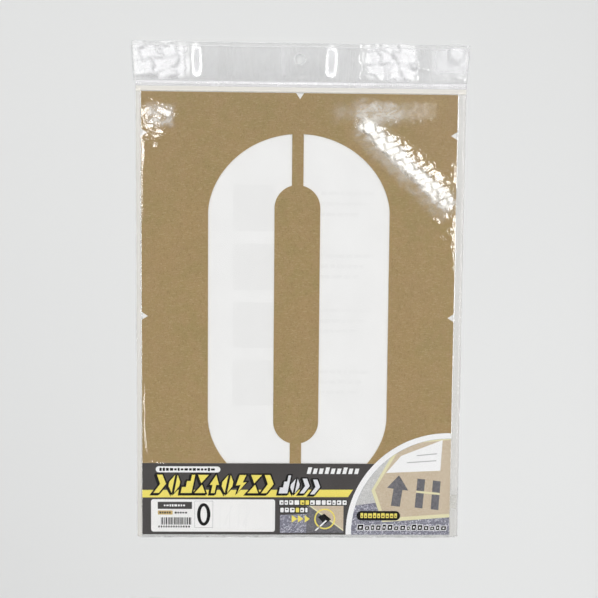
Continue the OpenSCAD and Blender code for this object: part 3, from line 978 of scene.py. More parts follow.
while x < -93.2:
    w = 0.8 + 1.2 * bars.rand()
    h = 1.2 + 1.0 * bars.rand()
    s_black.slab(rounded(x, -182.8 - h / 2, x + w, -182.8 + h / 2, 0.2, 2), S[0], S[1])
    x += w + 0.7
x = -115.0
while x < -90.0:
    w = 0.4 + 0.75 * bars.rand()
    s_black.slab([(x, -192.9), (x + w, -192.9), (x + w, -186.8), (x, -186.8)], S[0], S[1])
    x += w + 0.3 + 0.6 * bars.rand()
x = -117.2
while x < -90.4:
    w = 0.9 + 0.6 * bars.rand()
    s_black.slab(rounded(x, -195.4, x + w, -193.8, 0.2, 2), S[0], S[1])
    x += w + 0.9
s_line.slab(rounded(-87.1, -195.6, -71.7, -172.7, 0.2, 2), S[0], S[1], [rounded(-86.8, -195.3, -72.0, -173.0, 0.15, 2)])
s_black.slab(ring_pts(-79.45, -184.25, 5.55, 9.6, 56), S[0], S[1], [ring_pts(-79.45, -184.25, 2.7, 6.9, 56)])
for gx in (-66.5, -58.2, -51.0, -44.6):
    s_ghost.slab([(gx, -194.6), (gx + 0.7, -194.6), (gx + 1.4, -175.2), (gx + 0.7, -175.2)], S[0], S[1])
s_ghost.slab([(-63.2, -193.9), (-62.4, -193.9), (-55.0, -176.2), (-55.8, -176.2)], S[0], S[2])
s_ghost.slab([(-47.6, -193.9), (-46.8, -193.9), (-39.4, -178.2), (-40.2, -178.2)], S[0], S[2])
s_grey.make("sticker_print_grey", M_GREY, "label", "sticker_paper")
s_black.make("sticker_print_black", M_BLACK, "label", "sticker_paper")
s_white.make("sticker_print_white", M_WHITE, "label", "sticker_paper")
s_tan.make("sticker_print_tan", M_TAN, "label", "sticker_paper")
s_line.make("sticker_print_box", M_LINE, "label", "sticker_paper")
s_ghost.make("sticker_print_faint", M_GHOST, "label", "sticker_paper")


# ------------------------------------------------------------------ front film
def blob(x, y, px, py, rx, ry, turn=0.0, edge=0.35, rough=0.25, seed=0):
    """A soft ragged spot from 0 to 1; its place and half widths are given in picture pixels."""
    cx, cy = pt(px, py)
    c, s = math.cos(math.radians(turn)), math.sin(math.radians(turn))
    u, v = ((x - cx) * c + (y - cy) * s) / (rx * 0.82), (-(x - cx) * s + (y - cy) * c) / (ry * 0.82)
    r = np.hypot(u, v) + rough * fbm(x / 4.5, y / 4.5, 601 + seed, 3)
    return step(1 + edge, 1 - edge, r)


def flank(d, w, back):
    """Rises over w mm around d = 0 with an even slope, then sinks over back mm."""
    up = np.clip(d / w + 0.5, 0, 1)
    return (0.8 * up + 0.2 * up * up * (3 - 2 * up)) * step(back, 0, d)


def streak(x, y, p0, p1, w, seed=0, ends=0.15):
    """A narrow mask along the line between two picture pixels, w mm wide."""
    t, q = along(x, y, pt(*p0), pt(*p1))
    return step(w * 0.62, w * 0.38, np.abs(q + 0.35 * w * fbm(t * 9, q * 0 + seed, 640 + seed, 2))) * step(0, ends, t) * step(1, 1 - ends, t)


def scales(x, y, gx, gy, lam, wide, seed, crack=0.22, warp=0.45, tilt=0.12, shift=1.5, seam=0.16):
    """Small overlapping facets that lie at the slope (gx, gy): about lam mm long and wide mm
    across, with ragged borders where the height falls back."""
    g = math.hypot(gx, gy)
    ux, uy = gx / g, gy / g
    q = x * ux + y * uy
    qw = q + warp * lam * fbm(x / (1.2 * lam), y / (1.2 * lam), seed, 3)
    r = -x * uy + y * ux + 0.4 * wide * fbm(x / (1.1 * wide), y / (1.1 * wide), seed + 5, 3)
    col = np.floor(r / wide)
    f = r / wide - col
    rnd = table_of(seed + 9)

    def height(c):
        k = c.astype(int)
        off = rnd[k % 256, 7] * shift
        length = lam * (1 + 0.3 * rnd[k % 256, 19])
        p = qw / length + off
        i = np.floor(p)
        back = step(1 - crack, 1.0, p - i)
        ci = (i.astype(int) + 31 * k) % 256
        inner = q - (i - off + 0.5) * length
        lean = tilt * (rnd[ci, 3] * inner + rnd[ci, 13] * (f - 0.5) * wide)
        return g * (inner + 0.5 * length - length * back + lean * (1 - back))

    b = step(1 - seam, 1.0, f)
    return height(col) * (1 - b) + height(col + 1) * b


def front_folds(x, y):
    """Folds and crumples of the front film above its calm height."""
    z = np.zeros_like(x)
    # long fold across the upper right corner, broken into small facets
    a, b = pt(357, 125), pt(446, 210)
    t, q = along(x, y, a, b)
    q = q + 1.5 * fbm(t * 7, q / 30, 4, 2)
    ragged = q + 1.6 * fbm(x / 2.6, y / 2.6, 14, 2)
    wide = (9 + 9.5 * step(-0.02, 0.4, t)) * (1 - 0.3 * step(0.85, 1.1, t))
    u = q / wide + 0.10 * fbm(x / 4.0, y / 4.0, 24, 2)
    ends = step(-0.06, 0.05, t) * step(1.12, 0.98, t)
    zone = step(-0.10, 0.04, ragged / wide) * step(1.06, 0.96, u) * ends
    steep = 1.27 - 0.36 * np.clip(t, 0, 1)
    z = z + zone * steep * scales(x, y, -0.150, -0.045, 13.0, 5.2, 451, crack=0.06, warp=0.28, tilt=0.04, shift=0.5, seam=0.13)
    z = z + zone * 0.10 * (1 + fbm(x / 2.6, y / 1.5, 402, 2))
    # its tail: loose flakes down the right edge
    tail = np.maximum.reduce([blob(x, y, 437, 221, 5.5, 2.6, -25, seed=1), blob(x, y, 447, 216, 5, 3, -10, seed=2),
                              blob(x, y, 442, 238, 4, 2.2, -40, seed=3), blob(x, y, 449, 232, 3.6, 4, 0, seed=4),
                              blob(x, y, 443, 252, 2.6, 1.7, -30, seed=5), blob(x, y, 420, 221, 1.2, 1.0, 0, seed=6),
                              blob(x, y, 451, 165, 1.6, 3.2, 0, seed=7), blob(x, y, 450.5, 175, 1.5, 2.2, 0, seed=8),
                              blob(x, y, 357.5, 126.5, 2.4, 2.4, 0, seed=9), blob(x, y, 451, 247, 1.8, 5, 0, seed=10)])
    z = z + tail * scales(x, y, -0.15, -0.02, 3.4, 4.2, 431, crack=0.3)
    # puckers between the seal and that fold
    low = 140.2 + 2.4 * fbm(x / 6, y / 9, 405, 3) + 0.05 * np.clip(x - 80, 0, 60)
    zone = step(36, 52, x + 5 * fbm(y / 5, x / 9, 406, 2)) * step(114, 92, x) * step(low, low + 2.0, y) * step(161, 155, y)
    z = z + zone * (0.55 * (1 + fbm(x / 9.0, y / 7.0, 411, 3)) + 0.06 * fbm(x / 4.5, y / 3.5, 412, 3))
    # crumpled corner at the upper left
    t, q = along(x, y, pt(156.5, 104.2), pt(177.5, 113.4))
    q = q + 0.5 * fbm(x / 3, y / 3, 17, 2)
    m1 = step(-0.03, 0.04, t - 0.02 * q) * step(1.05, 0.98, t - 0.02 * q) * step(0.3, -0.3, q) * step(-6.4, -5.4, q)
    m2 = np.maximum.reduce([blob(x, y, 152, 124, 8, 6, 10, seed=12), blob(x, y, 158, 134, 8, 5.5, 10, seed=13),
                            blob(x, y, 147.5, 136, 3.6, 5.5, 0, seed=14), blob(x, y, 155, 145.5, 1.7, 3.4, 0, seed=15)])
    z = z + m1 * (scales(x, y, 0.158, 0.0, 11, 9, 424, crack=0.08, warp=0.2, tilt=0.04) + 0.05 * (1 + np.sin(2 * np.pi * q / 1.35 + 2 * fbm(x / 4, y / 4, 425, 2))))
    z = z + m2 * (1 - m1) * scales(x, y, 0.162, -0.01, 7.5, 3.6, 427, crack=0.1, warp=0.4, tilt=0.06, shift=0.6, seam=0.18)
    m3 = blob(x, y, 154, 116, 14, 9, -25, seed=16) * (1 - np.maximum(m1, m2))
    z = z + m3 * scales(x, y, 0.13, 0.0, 11, 5.0, 428, crack=0.08, warp=0.5)
    z = z + streak(x, y, (147, 96.5), (179, 112), 1.5, 1) * scales(x, y, 0.15, 0.02, 3.2, 5, 429, crack=0.25)
    z = z + streak(x, y, (174, 110), (213, 120), 1.1, 2) * scales(x, y, 0.11, 0.02, 3.2, 5, 430, crack=0.35)
    # lower left: the film climbs from the board to the card there
    edge = [pt(144.0, 378), pt(144.7, 392), pt(143.8, 402), pt(144.9, 412), pt(144.3, 425), pt(145.2, 438), pt(146.3, 448),
            pt(148.3, 456), pt(152, 461.5)]
    wid = np.interp(y, [p[1] for p in edge][::-1], [0.5, 1.0, 1.9, 2.1, 1.1, 0.9, 1.5, 0.8, 0.5])
    xc = np.interp(y, [p[1] for p in edge][::-1], [p[0] for p in edge][::-1])
    lit = step(edge[-1][1], edge[-1][1] + 1.5, y) * step(edge[0][1], edge[0][1] - 6, y)
    z = z + lit * 0.16 * wid * flank(x - xc, wid, 14)
    z = z + streak(x, y, (150, 460.5), (168, 464), 1.2, 6) * scales(x, y, 0.15, -0.06, 2.4, 60, 435, crack=0.25)
    z = z + streak(x, y, (148.5, 416.5), (158.5, 427), 1.6, 7) * scales(x, y, 0.14, -0.02, 1.7, 60, 436, crack=0.4)
    z = z + streak(x, y, (144.5, 373.5), (151.5, 370.8), 1.0, 8) * scales(x, y, 0.14, -0.02, 1.7, 60, 437, crack=0.4)
    # a faint line across the board at the right
    z = z + 0.06 * step(0.9, 0.3, np.abs(y - 24.5 - 0.02 * (x - 100))) * step(84, 96, x)
    return np.maximum(z, 0)


def label_mask(x, y, blur=1.3):
    band = step(LABEL_BAND + blur, LABEL_BAND - 0.2, y)
    disc = step(LABEL_R + blur, LABEL_R - 0.2, np.hypot(x - LABEL_CX, y - LABEL_CY))
    return np.maximum(band, disc)


def front_under(x, y):
    """Height of the front film's underside."""
    lab = label_mask(x, y)
    z = 1.70 + 0.37 * lab
    inside = step(STICKER_LO[0] - 1.5, STICKER_LO[0] + 0.3, x) * step(STICKER_HI[0] + 1.5, STICKER_HI[0] - 0.3, x)
    inside = inside * step(STICKER_LO[1] - 1.5, STICKER_LO[1] + 0.3, y) * step(STICKER_HI[1] + 1.5, STICKER_HI[1] - 0.3, y)
    z = z + 0.09 * inside
    free = 1 - lab
    # slack over the board and low long waves
    wave = 0.5 + 0.5 * fbm(x / 62 + 3.1, y / 75, 3, 2)
    fine = 0.5 + 0.5 * fbm(x / 21, y / 26, 9, 2)
    z = z + (0.05 + 0.2 * free) * wave + (0.02 + 0.05 * free) * fine
    z = z + front_folds(x, y)
    # shoulders where the film lifts off before it bends over the board's edges
    xl, xr, yt = PLATE_LO[0] - 0.15, PLATE_HI[0] + 0.15, PLATE_HI[1] + 0.15
    rag = fbm(y / 2.4, x / 9, 33, 2)
    wl = 0.9 + 1.6 * step(98, 112, y)
    z = z + step(55, 60, y) * step(133, 126, y) * (0.155 + 0.05 * rag) * wl * flank(x - xl - 0.9 - 0.35 * wl + 0.25 * rag, wl, 16)
    wr = 0.9 + 1.5 * step(28, 42, y)
    z = z + step(17, 22, y) * step(122, 96, y) * (0.14 + 0.06 * rag) * wr * flank(xr - x - 0.8 - 0.35 * wr - 0.3 * rag, wr, 14)
    # towards the welds and the seal
    wob = 0.10 * fbm(y / 23, x / 9, 31, 2)
    dr = (x - xr) / (FILM_R - xr)
    dl = (xl - x) / (xl - FILM_L)
    dt = (y - yt) / (SEAL_BOT - yt)
    f = np.maximum(np.maximum(soft(dr, 0.14), soft(dl, 0.14)), soft(dt, 0.12))
    f = np.clip(f, 0, 1)
    low = 0.31
    z = z - (z - low) * f
    z = z + wob * 4 * f * (1 - f)
    return np.where(f > 0, np.maximum(z, low), z)


def spaced(breaks, sizes):
    """Grid lines through the breaks, with about that spacing in each stretch."""
    out = [breaks[0]]
    for a, b, s in zip(breaks, breaks[1:], sizes):
        n = max(1, int(round((b - a) / s)))
        out += list(np.linspace(a, b, n + 1)[1:])
    return np.array(out)


def film_sheet(name, pts, edges, top, thick, material, hole=None):
    """A closed film over a triangulation of these points; top gives its upper side's height."""
    vs, es, fs, _, _, _ = delaunay_2d_cdt([Vector((p[0], p[1])) for p in pts], edges, [], 0, 1e-6)
    keep = []
    for f in fs:
        a, b, c = (vs[i] for i in f)
        if hole and math.hypot((a[0] + b[0] + c[0]) / 3 - hole[0], (a[1] + b[1] + c[1]) / 3 - hole[1]) < hole[2] - 0.02:
            continue
        turn = (b[0] - a[0]) * (c[1] - a[1]) - (b[1] - a[1]) * (c[0] - a[0])
        if abs(turn) < 1e-7:
            continue
        keep.append((f[0], f[2], f[1]) if turn < 0 else tuple(f))
    xy = np.array([(v[0], v[1]) for v in vs], float)
    z = top(xy[:, 0], xy[:, 1])
    n = len(xy)
    verts = np.concatenate([np.column_stack([xy, z]), np.column_stack([xy, z - thick])])
    faces = [list(f) for f in keep] + [[f[2] + n, f[1] + n, f[0] + n] for f in keep]
    flat = len(faces)
    sides = set()
    for f in keep:
        sides.update(zip(f, f[1:] + f[:1]))
    faces += [[i, i + n, j + n, j] for i, j in sorted(sides) if (j, i) not in sides]
    used = sorted({i for f in faces for i in f})
    remap = {i: k for k, i in enumerate(used)}
    ob = make_object(name, verts[used], [[remap[i] for i in f] for f in faces], material)
    ob.data.polygons.foreach_set("use_smooth", [True] * flat + [False] * (len(faces) - flat))
    return ob


def in_zone(x, y, zone):
    return zone[0] <= x <= zone[2] and zone[1] <= y <= zone[3]


FINE = [(121.5, 14, FILM_R, 107), (FILM_L, 52, -126.0, 136), (FILM_L, -140, -125.5, -55), (-131, 117, -99, 164),
        (-116, -146, -95, -137), (98, 40, 126, 86), (-131, -102, -112, -86)]
MEDIUM = [(124.5, -210, FILM_R, 170), (FILM_L, -210, -128.6, 170), (FILM_L, 163.2, FILM_R, 170), (34, 138, 128, 163)]
BAND_A, BAND_B = pt(357, 125), pt(446, 210)


def fineness(x, y):
    t, q = along(x, y, BAND_A, BAND_B)
    if -0.1 < t < 1.15 and -4 < q < 22:
        return 5
    if any(in_zone(x, y, z) for z in FINE):
        return 5
    if any(in_zone(x, y, z) for z in MEDIUM):
        return 4
    d = math.hypot(x - LABEL_CX, y - LABEL_CY) - LABEL_R
    if abs(y - LABEL_BAND - 0.5) < 2.6 and d > -2 or abs(d - 0.5) < 2.6 and y > LABEL_BAND - 3:
        return 3
    return 1


cell = 2.88
nx, ny = int(math.ceil((FILM_R - FILM_L) / cell)), int(math.ceil((SEAL_BOT - MOUTH_Y) / cell))
sx, sy = (FILM_R - FILM_L) / nx, (SEAL_BOT + 0.02 - MOUTH_Y) / ny
pts = []
ys = np.linspace(MOUTH_Y, SEAL_BOT + 0.02, 4 * ny + 1)
xs = np.linspace(FILM_L, FILM_R, 2 * nx + 1)
pts += [(x, MOUTH_Y) for x in xs[:-1]] + [(FILM_R, y) for y in ys[:-1]]
pts += [(x, SEAL_BOT + 0.02) for x in xs[:0:-1]] + [(FILM_L, y) for y in ys[:0:-1]]
rim_count = len(pts)
for j in range(ny):
    for i in range(nx):
        x0, y0 = FILM_L + i * sx, MOUTH_Y + j * sy
        n = fineness(x0 + sx / 2, y0 + sy / 2)
        for v in range(n):
            for u in range(n):
                pts.append((x0 + sx * (u + (0.3 if v % 2 else 0.7)) / n, y0 + sy * (v + 0.5) / n))
front = film_sheet("bag_front_sheet", pts, [(i, (i + 1) % rim_count) for i in range(rim_count)],
                   lambda x, y: front_under(x, y) + FILM_T, FILM_T, M_FRONT)
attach(front, "bag")
print("front film", len(pts), "points", len(front.data.polygons), "faces")


# ------------------------------------------------------------------ sealed band
def seal_height(x, y):
    ribs = 0.11 * np.sin(2 * np.pi * (x + 0.2 * fbm(x / 30, y / 9, 73, 2)) / 1.95) * step(SEAL_TOP - 3.0, SEAL_TOP - 2.4, y) * step(SEAL_TOP - 0.7, SEAL_TOP - 1.2, y)
    return 0.44 + ribs + 0.05 * fbm(x / 18, y / 4, 71, 2)


sx = spaced([FILM_L, FILM_R], [0.25])
sy = spaced([SEAL_BOT, SEAL_BOT + 0.6, SEAL_TOP - 1.4, SEAL_TOP], [0.3, 0.45, 0.3])
gx, gy = np.meshgrid(sx, sy)
edge = step(SEAL_BOT, SEAL_BOT + 1.0, gy) * step(SEAL_TOP, SEAL_TOP - 0.6, gy)
z = (0.31 + FILM_T) * (1 - edge) + seal_height(gx, gy) * edge
seal = grid_shell("bag_seal_band", gx, gy, z, 0.12 + 0.04 * edge, M_SEAL)
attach(seal, "bag")
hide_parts("bag_front_film")


# ------------------------------------------------------------------ back film
bx = spaced([FILM_L, FILM_R], [2.4])
by = spaced([BACK_LO[1], SEAL_TOP], [2.6])
gx, gy = np.meshgrid(bx, by)
z = 0.275 + 0.022 * fbm(gx / 34, gy / 41, 81, 3) - 0.05 * step(-158, -150, gy) * (0.5 + 0.5 * fbm(gx / 15, gy / 60, 83, 2))
back = grid_shell("bag_back_sheet", gx, gy, z, FILM_T, M_BACK)
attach(back, "bag")
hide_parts("bag_back_film")


# ------------------------------------------------------------------ header
def buckles(x, y, shift=0.0, amp=1.0):
    """Upright buckles of the loose header strip."""
    v = np.clip((y - SEAL_TOP) / 30.6, 0, 1.1)
    env = step(0.0, 0.14, v)
    mid = 0.40 + 0.56 * np.sin(np.pi * np.clip(v, 0, 1)) + 0.07 * fbm(v * 4.3, x / 40, 507, 3)
    xs = x + shift + 1.1 * fbm(v * 2.6, x / 60, 505, 2)
    z = 0.0 * x
    # two smooth buckles, each lit along the rim of its steep flank
    z = z + 2.6 * step(-91, -80, xs) * step(-38, -72, xs) * mid
    z = z + 3.3 * step(-66, 8, xs) * step(29.5, 16.5, xs) * mid
    # crumpled ends
    left = step(-90.5, -96, xs)
    z = z + left * (scales(x, y, 0.165, 0.012, 15, 11, 541, crack=0.12, warp=0.8, tilt=0.25) + 0.30 * (1 + fbm(xs / 7, y / 9, 508, 3)))
    right = step(45, 51, xs) * step(95, 88, xs)
    z = z + right * (scales(x, y, -0.188, 0.012, 14, 10, 543, crack=0.12, warp=0.8, tilt=0.25) + 0.30 * (1 + fbm(xs / 7, y / 9, 518, 3)))
    spot = blob(x, y, 456, 53, 11, 10, 0, edge=0.5, rough=0.2, seed=31)
    z = z + spot * scales(x, y, -0.135, 0.0, 22, 30, 545, crack=0.1, warp=0.3)
    line = streak(x, y, (410, 66), (467, 80), 2.6, 9, ends=0.1)
    z = z + line * scales(x, y, -0.14, -0.05, 9, 12, 547, crack=0.12, warp=0.5)
    z = z + step(100, 112, xs) * 0.25 * (1 + fbm(xs / 11, y / 12, 527, 3))
    # faint pale streaks and a spark
    z = z + 0.35 * step(-46, -40, xs) * step(-30, -39, xs) + 0.35 * step(-21, -15, xs) * step(-6, -14, xs)
    z = z + 0.10 * (1 + fbm(x / 17, y / 12, 91, 3))
    z = z + blob(x, y, 353, 61, 2.0, 1.4, 0, seed=21) * scales(x, y, -0.2, 0.0, 2.5, 3, 531)
    return np.maximum(z, 0) * env * amp


def header_layer(name, y_top, height, material):
    """One film of the header: a trapezium with the hang hole."""
    y0 = SEAL_TOP
    right_of = lambda y: HEAD_R + 2.0 * (y - SEAL_TOP) / 30.6
    left_of = lambda y: HEAD_L - 1.0 * (y - SEAL_TOP) / 30.6
    bottom = [(x, y0) for x in np.linspace(left_of(y0), right_of(y0), 230)[:-1]]
    right = [(right_of(y), y) for y in np.linspace(y0, y_top, 30)[:-1]]
    topr = [(x, y_top) for x in np.linspace(right_of(y_top), left_of(y_top), 230)[:-1]]
    left = [(left_of(y), y) for y in np.linspace(y_top, y0, 30)[:-1]]
    outline = bottom + right + topr + left
    hole = ring_pts(HOLE[0], HOLE[1], HOLE[2], HOLE[2], 48)
    pts = list(outline) + list(hole)
    no, nh = len(outline), len(hole)
    edges = [(i, (i + 1) % no) for i in range(no)] + [(no + i, no + (i + 1) % nh) for i in range(nh)]
    for r, m in ((4.7, 44), (5.7, 38), (6.9, 34)):
        pts += ring_pts(HOLE[0], HOLE[1], r, r, m)
    row = 0
    for y in np.arange(y0 + 0.7, y_top - 0.5, 1.0):
        for x in np.arange(left_of(y) + 0.9 + 0.55 * (row % 2), right_of(y) - 0.7, 1.1):
            if math.hypot(x - HOLE[0], y - HOLE[1]) > 7.7:
                pts.append((float(x), float(y)))
        row += 1
    ob = film_sheet(name, pts, edges, height, FILM_T, material, hole=HOLE)
    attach(ob, "bag")
    return ob


head_back = header_layer("header_back_sheet", HEAD_HI[1], lambda x, y: 0.29 + buckles(x, y, 0.6, 0.93) + 0.02 * fbm(x / 9, y / 9, 95, 2), M_HEADER_BACK)
head_front = header_layer("header_front_sheet", HEAD_HI[1] - 3.2, lambda x, y: 0.43 + buckles(x, y) + 0.02 * fbm(x / 9, y / 9, 97, 2), M_HEADER_FRONT)
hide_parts("header_strip")


# ------------------------------------------------------------------ welded sides
def weld(name, side, node):
    """The fused bead along one side: a narrow irregular ridge of melted film."""
    ys = np.arange(BACK_LO[1], SEAL_TOP + 0.01, 1.1)
    prof = [(-0.55, 0.20, 0.0), (-0.3, 0.36, 0.3), (0.0, 0.46, 1.0), (0.28, 0.40, 0.8), (0.42, 0.28, 0.3),
            (0.40, 0.20, 0.0), (0.0, 0.17, 0.0), (-0.4, 0.18, 0.0)]
    verts, faces = [], []
    m = len(prof)
    cx = (FILM_L if side < 0 else FILM_R) + side * 0.18
    for k, y in enumerate(ys):
        g = 0.06 * float(fbm(np.array(y / 3.1), np.array(side * 2.0), 111, 3))
        s = 0.05 * float(fbm(np.array(y / 17.0), np.array(side * 5.0), 113, 2))
        for u, z, w in prof:
            verts.append((cx + side * (u + s), y, z + g * w))
    for k in range(len(ys) - 1):
        for i in range(m):
            j = (i + 1) % m
            a, b = k * m + i, k * m + j
            quad = [a, b, b + m, a + m]
            faces.append(quad if side < 0 else quad[::-1])
    first = list(range(m))
    last = [(len(ys) - 1) * m + i for i in range(m)]
    faces.append(first[::-1] if side < 0 else first)
    faces.append(last if side < 0 else last[::-1])
    ob = make_object(name, verts, faces, M_WELD, smooth=True)
    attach(ob, "bag")
    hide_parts(node)
    return ob


weld("side_bead_left", -1, "side_weld_left")
weld("side_bead_right", 1, "side_weld_right")

# ------------------------------------------------------------------ folded mouth, flap and adhesive
cx_ = spaced([FILM_L + 1.6, FILM_R - 1.6], [2.2])
steps = 14
mouth_top = front_under(cx_[None, :], np.full((1, len(cx_)), MOUTH_Y))[0] + FILM_T
ang = np.linspace(0, math.pi, steps + 1)
outer_y, outer_z, inner_y, inner_z = [], [], [], []
for a in ang:
    t = (1 - math.cos(a)) / 2
    bulge = 0.65 * math.sin(a) ** 0.8 if math.sin(a) > 0 else 0.0
    zc = mouth_top * (1 - t) + 0.02 * t
    zi = (mouth_top - FILM_T) * (1 - t) + (0.02 + FILM_T) * t
    outer_y.append(np.full(len(cx_), MOUTH_Y - 0.03 - bulge) + 0.03 * fbm(cx_ / 9, cx_ * 0 + a, 121, 2) * math.sin(a))
    outer_z.append(zc)
    inner_y.append(outer_y[-1] + FILM_T)
    inner_z.append(zi)
nx = len(cx_)
verts = []
for oy, oz in zip(outer_y, outer_z):
    verts += [(cx_[i], oy[i], oz[i]) for i in range(nx)]
for iy, iz in zip(inner_y, inner_z):
    verts += [(cx_[i], iy[i], iz[i]) for i in range(nx)]
rows = steps + 1
n = rows * nx
faces = []
for r in range(rows - 1):
    for i in range(nx - 1):
        a, b, c, d = r * nx + i, r * nx + i + 1, (r + 1) * nx + i + 1, (r + 1) * nx + i
        faces.append([d, c, b, a])
        faces.append([a + n, b + n, c + n, d + n])
ids = np.arange(n).reshape(rows, nx)
rim = [int(i) for i in list(ids[0, :]) + list(ids[1:, -1]) + list(ids[-1, -2::-1]) + list(ids[-2:0:-1, 0])]
for i, j in zip(rim, rim[1:] + rim[:1]):
    faces.append([i, j, j + n, i + n])
crease = make_object("mouth_fold", verts, faces, M_FOLD, smooth=True)
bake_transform(crease)
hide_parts("flap_crease")

px_ = spaced([FILM_L, FILM_R], [2.2])
py_ = spaced([FLAP_LO[1], FLAP_HI[1]], [1.6])
gx, gy = np.meshgrid(px_, py_)
v = (gy - FLAP_LO[1]) / (FLAP_HI[1] - FLAP_LO[1])
z = 0.075 + 0.035 * fbm(gx / 16, gy / 12, 131, 3) * step(0, 0.1, v)
z = np.minimum(z, 0.098)
flap = grid_shell("closing_flap_sheet", gx, gy, z, 0.05, M_BACK)
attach(flap, "flap")
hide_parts("closing_flap")

gx_ = spaced([GLUE_LO[0], GLUE_HI[0]], [1.9])
gy_ = spaced([GLUE_LO[1], GLUE_HI[1]], [1.0])
gx, gy = np.meshgrid(gx_, gy_)
ragged = 0.18 * fbm(gx / 3.0, gy * 0 + 1.0, 141, 2)
gy = gy + ragged * np.where(gy > (GLUE_LO[1] + GLUE_HI[1]) / 2, 1, -1)
z = 0.14 + 0.008 * fbm(gx / 5, gy / 5, 143, 2)
glue = grid_shell("flap_adhesive", gx, gy, z, 0.035, M_GLUE)
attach(glue, "flap")
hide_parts("flap_adhesive_strip")

# ------------------------------------------------------------------ floor
fg = Graph("studio_floor")
fmm = fg.coords()
cloud = fg.noise(fmm, 0.004, 2.0, 0.5)
grain = fg.noise(fmm, 0.8, 2.0, 0.5)
tone = fg.mix(cloud, rgb(0.748, 0.754, 0.752), rgb(0.764, 0.770, 0.764))
tone = fg.mix(fg.remap(grain, 0.4, 0.6, 0, 0.15), tone, rgb(0.735, 0.74, 0.735))
# Painted light on the floor: its colour is scaled down away from the middle and tilted across it, standing in for the
# uneven light of the lamps
fsep = fg.node("ShaderNodeSeparateXYZ", {"Vector": fmm})
fu = fg.math("MAXIMUM", fg.math("MINIMUM", fg.math("MULTIPLY", fsep.outputs[0], 1 / 245.0), 1.3), -1.3)
fv = fg.math("MAXIMUM", fg.math("MINIMUM", fg.math("MULTIPLY", fsep.outputs[1], 1 / 245.0), 1.3), -1.3)
fall = fg.math("MULTIPLY", fg.math("ADD", fg.math("MULTIPLY", fu, fu), fg.math("MULTIPLY", fv, fv)), -0.023)
lean = fg.math("ADD", fg.math("MULTIPLY", fu, 0.019), fg.math("MULTIPLY", fg.math("MULTIPLY", fu, fv), -0.027))
level = fg.math("ADD", fg.math("ADD", fall, lean), 1.0)
shade = fg.node("ShaderNodeVectorMath", {0: tone, "Scale": level}, operation="SCALE").outputs[0]
matt = fg.node("ShaderNodeBsdfDiffuse", {"Color": shade})
clear = fg.node("ShaderNodeBsdfTransparent")
geo = fg.node("ShaderNodeNewGeometry")
path = fg.node("ShaderNodeLightPath")
near = fg.math("LESS_THAN", path.outputs["Ray Length"], 0.005)
notcam = fg.math("SUBTRACT", 1.0, path.outputs["Is Camera Ray"])
opened = fg.math("MAXIMUM", geo.outputs["Backfacing"], fg.math("MULTIPLY", near, notcam))
fmix = fg.node("ShaderNodeMixShader")
fg.put(fmix.inputs[0], opened)
fg.tree.links.new(matt.outputs[0], fmix.inputs[1])
fg.tree.links.new(clear.outputs[0], fmix.inputs[2])
M_FLOOR = fg.finish(fmix.outputs[0])
floor = make_object("studio_floor", [(-3000, -3000, -0.02), (3000, -3000, -0.02), (3000, 3000, -0.02), (-3000, 3000, -0.02)],
                    [[0, 1, 2, 3]], M_FLOOR)

# ------------------------------------------------------------------ light
world = bpy.data.worlds.new("studio")
scene.world = world
world.use_nodes = True
wt = world.node_tree
wt.nodes.clear()
wout = wt.nodes.new("ShaderNodeOutputWorld")
bg = wt.nodes.new("ShaderNodeBackground")
wt.links.new(bg.outputs[0], wout.inputs[0])
wtc = wt.nodes.new("ShaderNodeTexCoord")
sep = wt.nodes.new("ShaderNodeSeparateXYZ")
wt.links.new(wtc.outputs["Generated"], sep.inputs[0])


def wmath(op, a, b=0.0):
    made = wt.nodes.new("ShaderNodeMath")
    made.operation = op
    for sock, v in zip(made.inputs, (a, b)):
        if isinstance(v, bpy.types.NodeSocket):
            wt.links.new(v, sock)
        else:
            sock.default_value = v
    return made.outputs[0]


def wramp(v, a, b, c, d):
    made = wt.nodes.new("ShaderNodeMapRange")
    made.interpolation_type = "SMOOTHSTEP"
    wt.links.new(v, made.inputs["Value"])
    for k, val in (("From Min", a), ("From Max", b), ("To Min", c), ("To Max", d)):
        made.inputs[k].default_value = val
    return made.outputs[0]


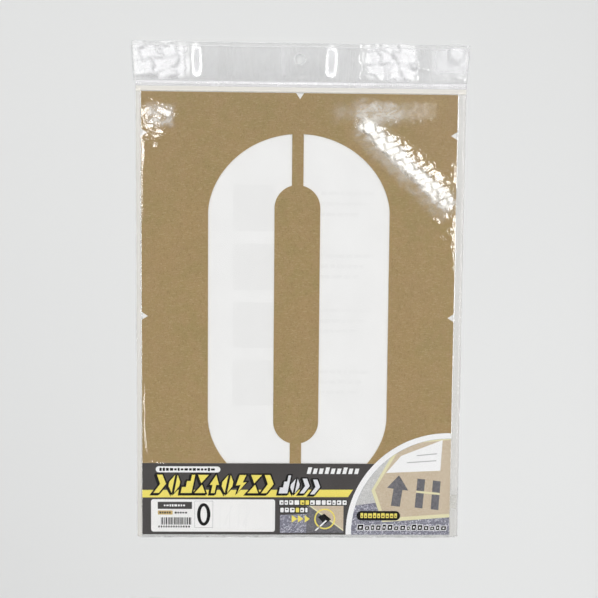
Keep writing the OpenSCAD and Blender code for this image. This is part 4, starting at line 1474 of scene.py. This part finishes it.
def wdot(direction):
    made = wt.nodes.new("ShaderNodeVectorMath")
    made.operation = "DOT_PRODUCT"
    wt.links.new(wtc.outputs["Generated"], made.inputs[0])
    made.inputs[1].default_value = Vector(direction).normalized()
    return made.outputs["Value"]


def wlobe(direction, across, upward, strength):
    """A soft strip light around a direction, with its half widths in degrees."""
    c = Vector(direction).normalized()
    ex = (Vector((1, 0, 0)) - c * c.x).normalized()
    ey = c.cross(ex)
    u = wmath("POWER", wmath("ABSOLUTE", wmath("DIVIDE", wdot(ex), math.sin(math.radians(across)))), 2.0)
    v = wmath("POWER", wmath("ABSOLUTE", wmath("DIVIDE", wdot(ey), math.sin(math.radians(upward)))), 4.0)
    fall = wmath("EXPONENT", wmath("MULTIPLY", wmath("ADD", u, v), -1.0))
    front_side = wmath("GREATER_THAN", wdot(c), 0.0)
    return wmath("MULTIPLY", wmath("MULTIPLY", fall, front_side), strength)


SKY = 0.41
away = wramp(wdot((-0.05, -0.18, 0.98)), math.cos(math.radians(4)), math.cos(math.radians(34)), 0.08, SKY)
low_side = wramp(sep.outputs[2], 0.98, 0.6, 0.0, 0.3)
tilt = wmath("ADD", 1.0, wmath("MULTIPLY", sep.outputs[1], low_side))
total = wmath("MULTIPLY", away, tilt)
for side in (-1, 1):
    for strength, across, upward in ((12.0, 4.0, 22.0), (1.0, 7.5, 24.0), (0.12, 15.0, 30.0)):
        total = wmath("ADD", total, wlobe((side * 0.478, 0.09, 0.878), across, upward, strength))
above = wramp(sep.outputs[2], -0.06, 0.0, 0.0, 1.0)
total = wmath("ADD", wmath("MULTIPLY", total, above), wmath("MULTIPLY", wmath("SUBTRACT", 1.0, above), 0.62))
wt.links.new(total, bg.inputs["Strength"])
bg.inputs["Color"].default_value = (1.0, 1.0, 1.0, 1.0)
world.cycles.sampling_method = "MANUAL"
world.cycles.sample_map_resolution = 1024

scene.view_settings.view_transform = "Standard"
scene.view_settings.look = "None"
scene.view_settings.exposure = 0.0
scene.view_settings.gamma = 1.0
scene.cycles.transparent_max_bounces = 32
scene.cycles.max_bounces = 10
scene.cycles.diffuse_bounces = 4
scene.cycles.glossy_bounces = 4
scene.cycles.use_denoising = True
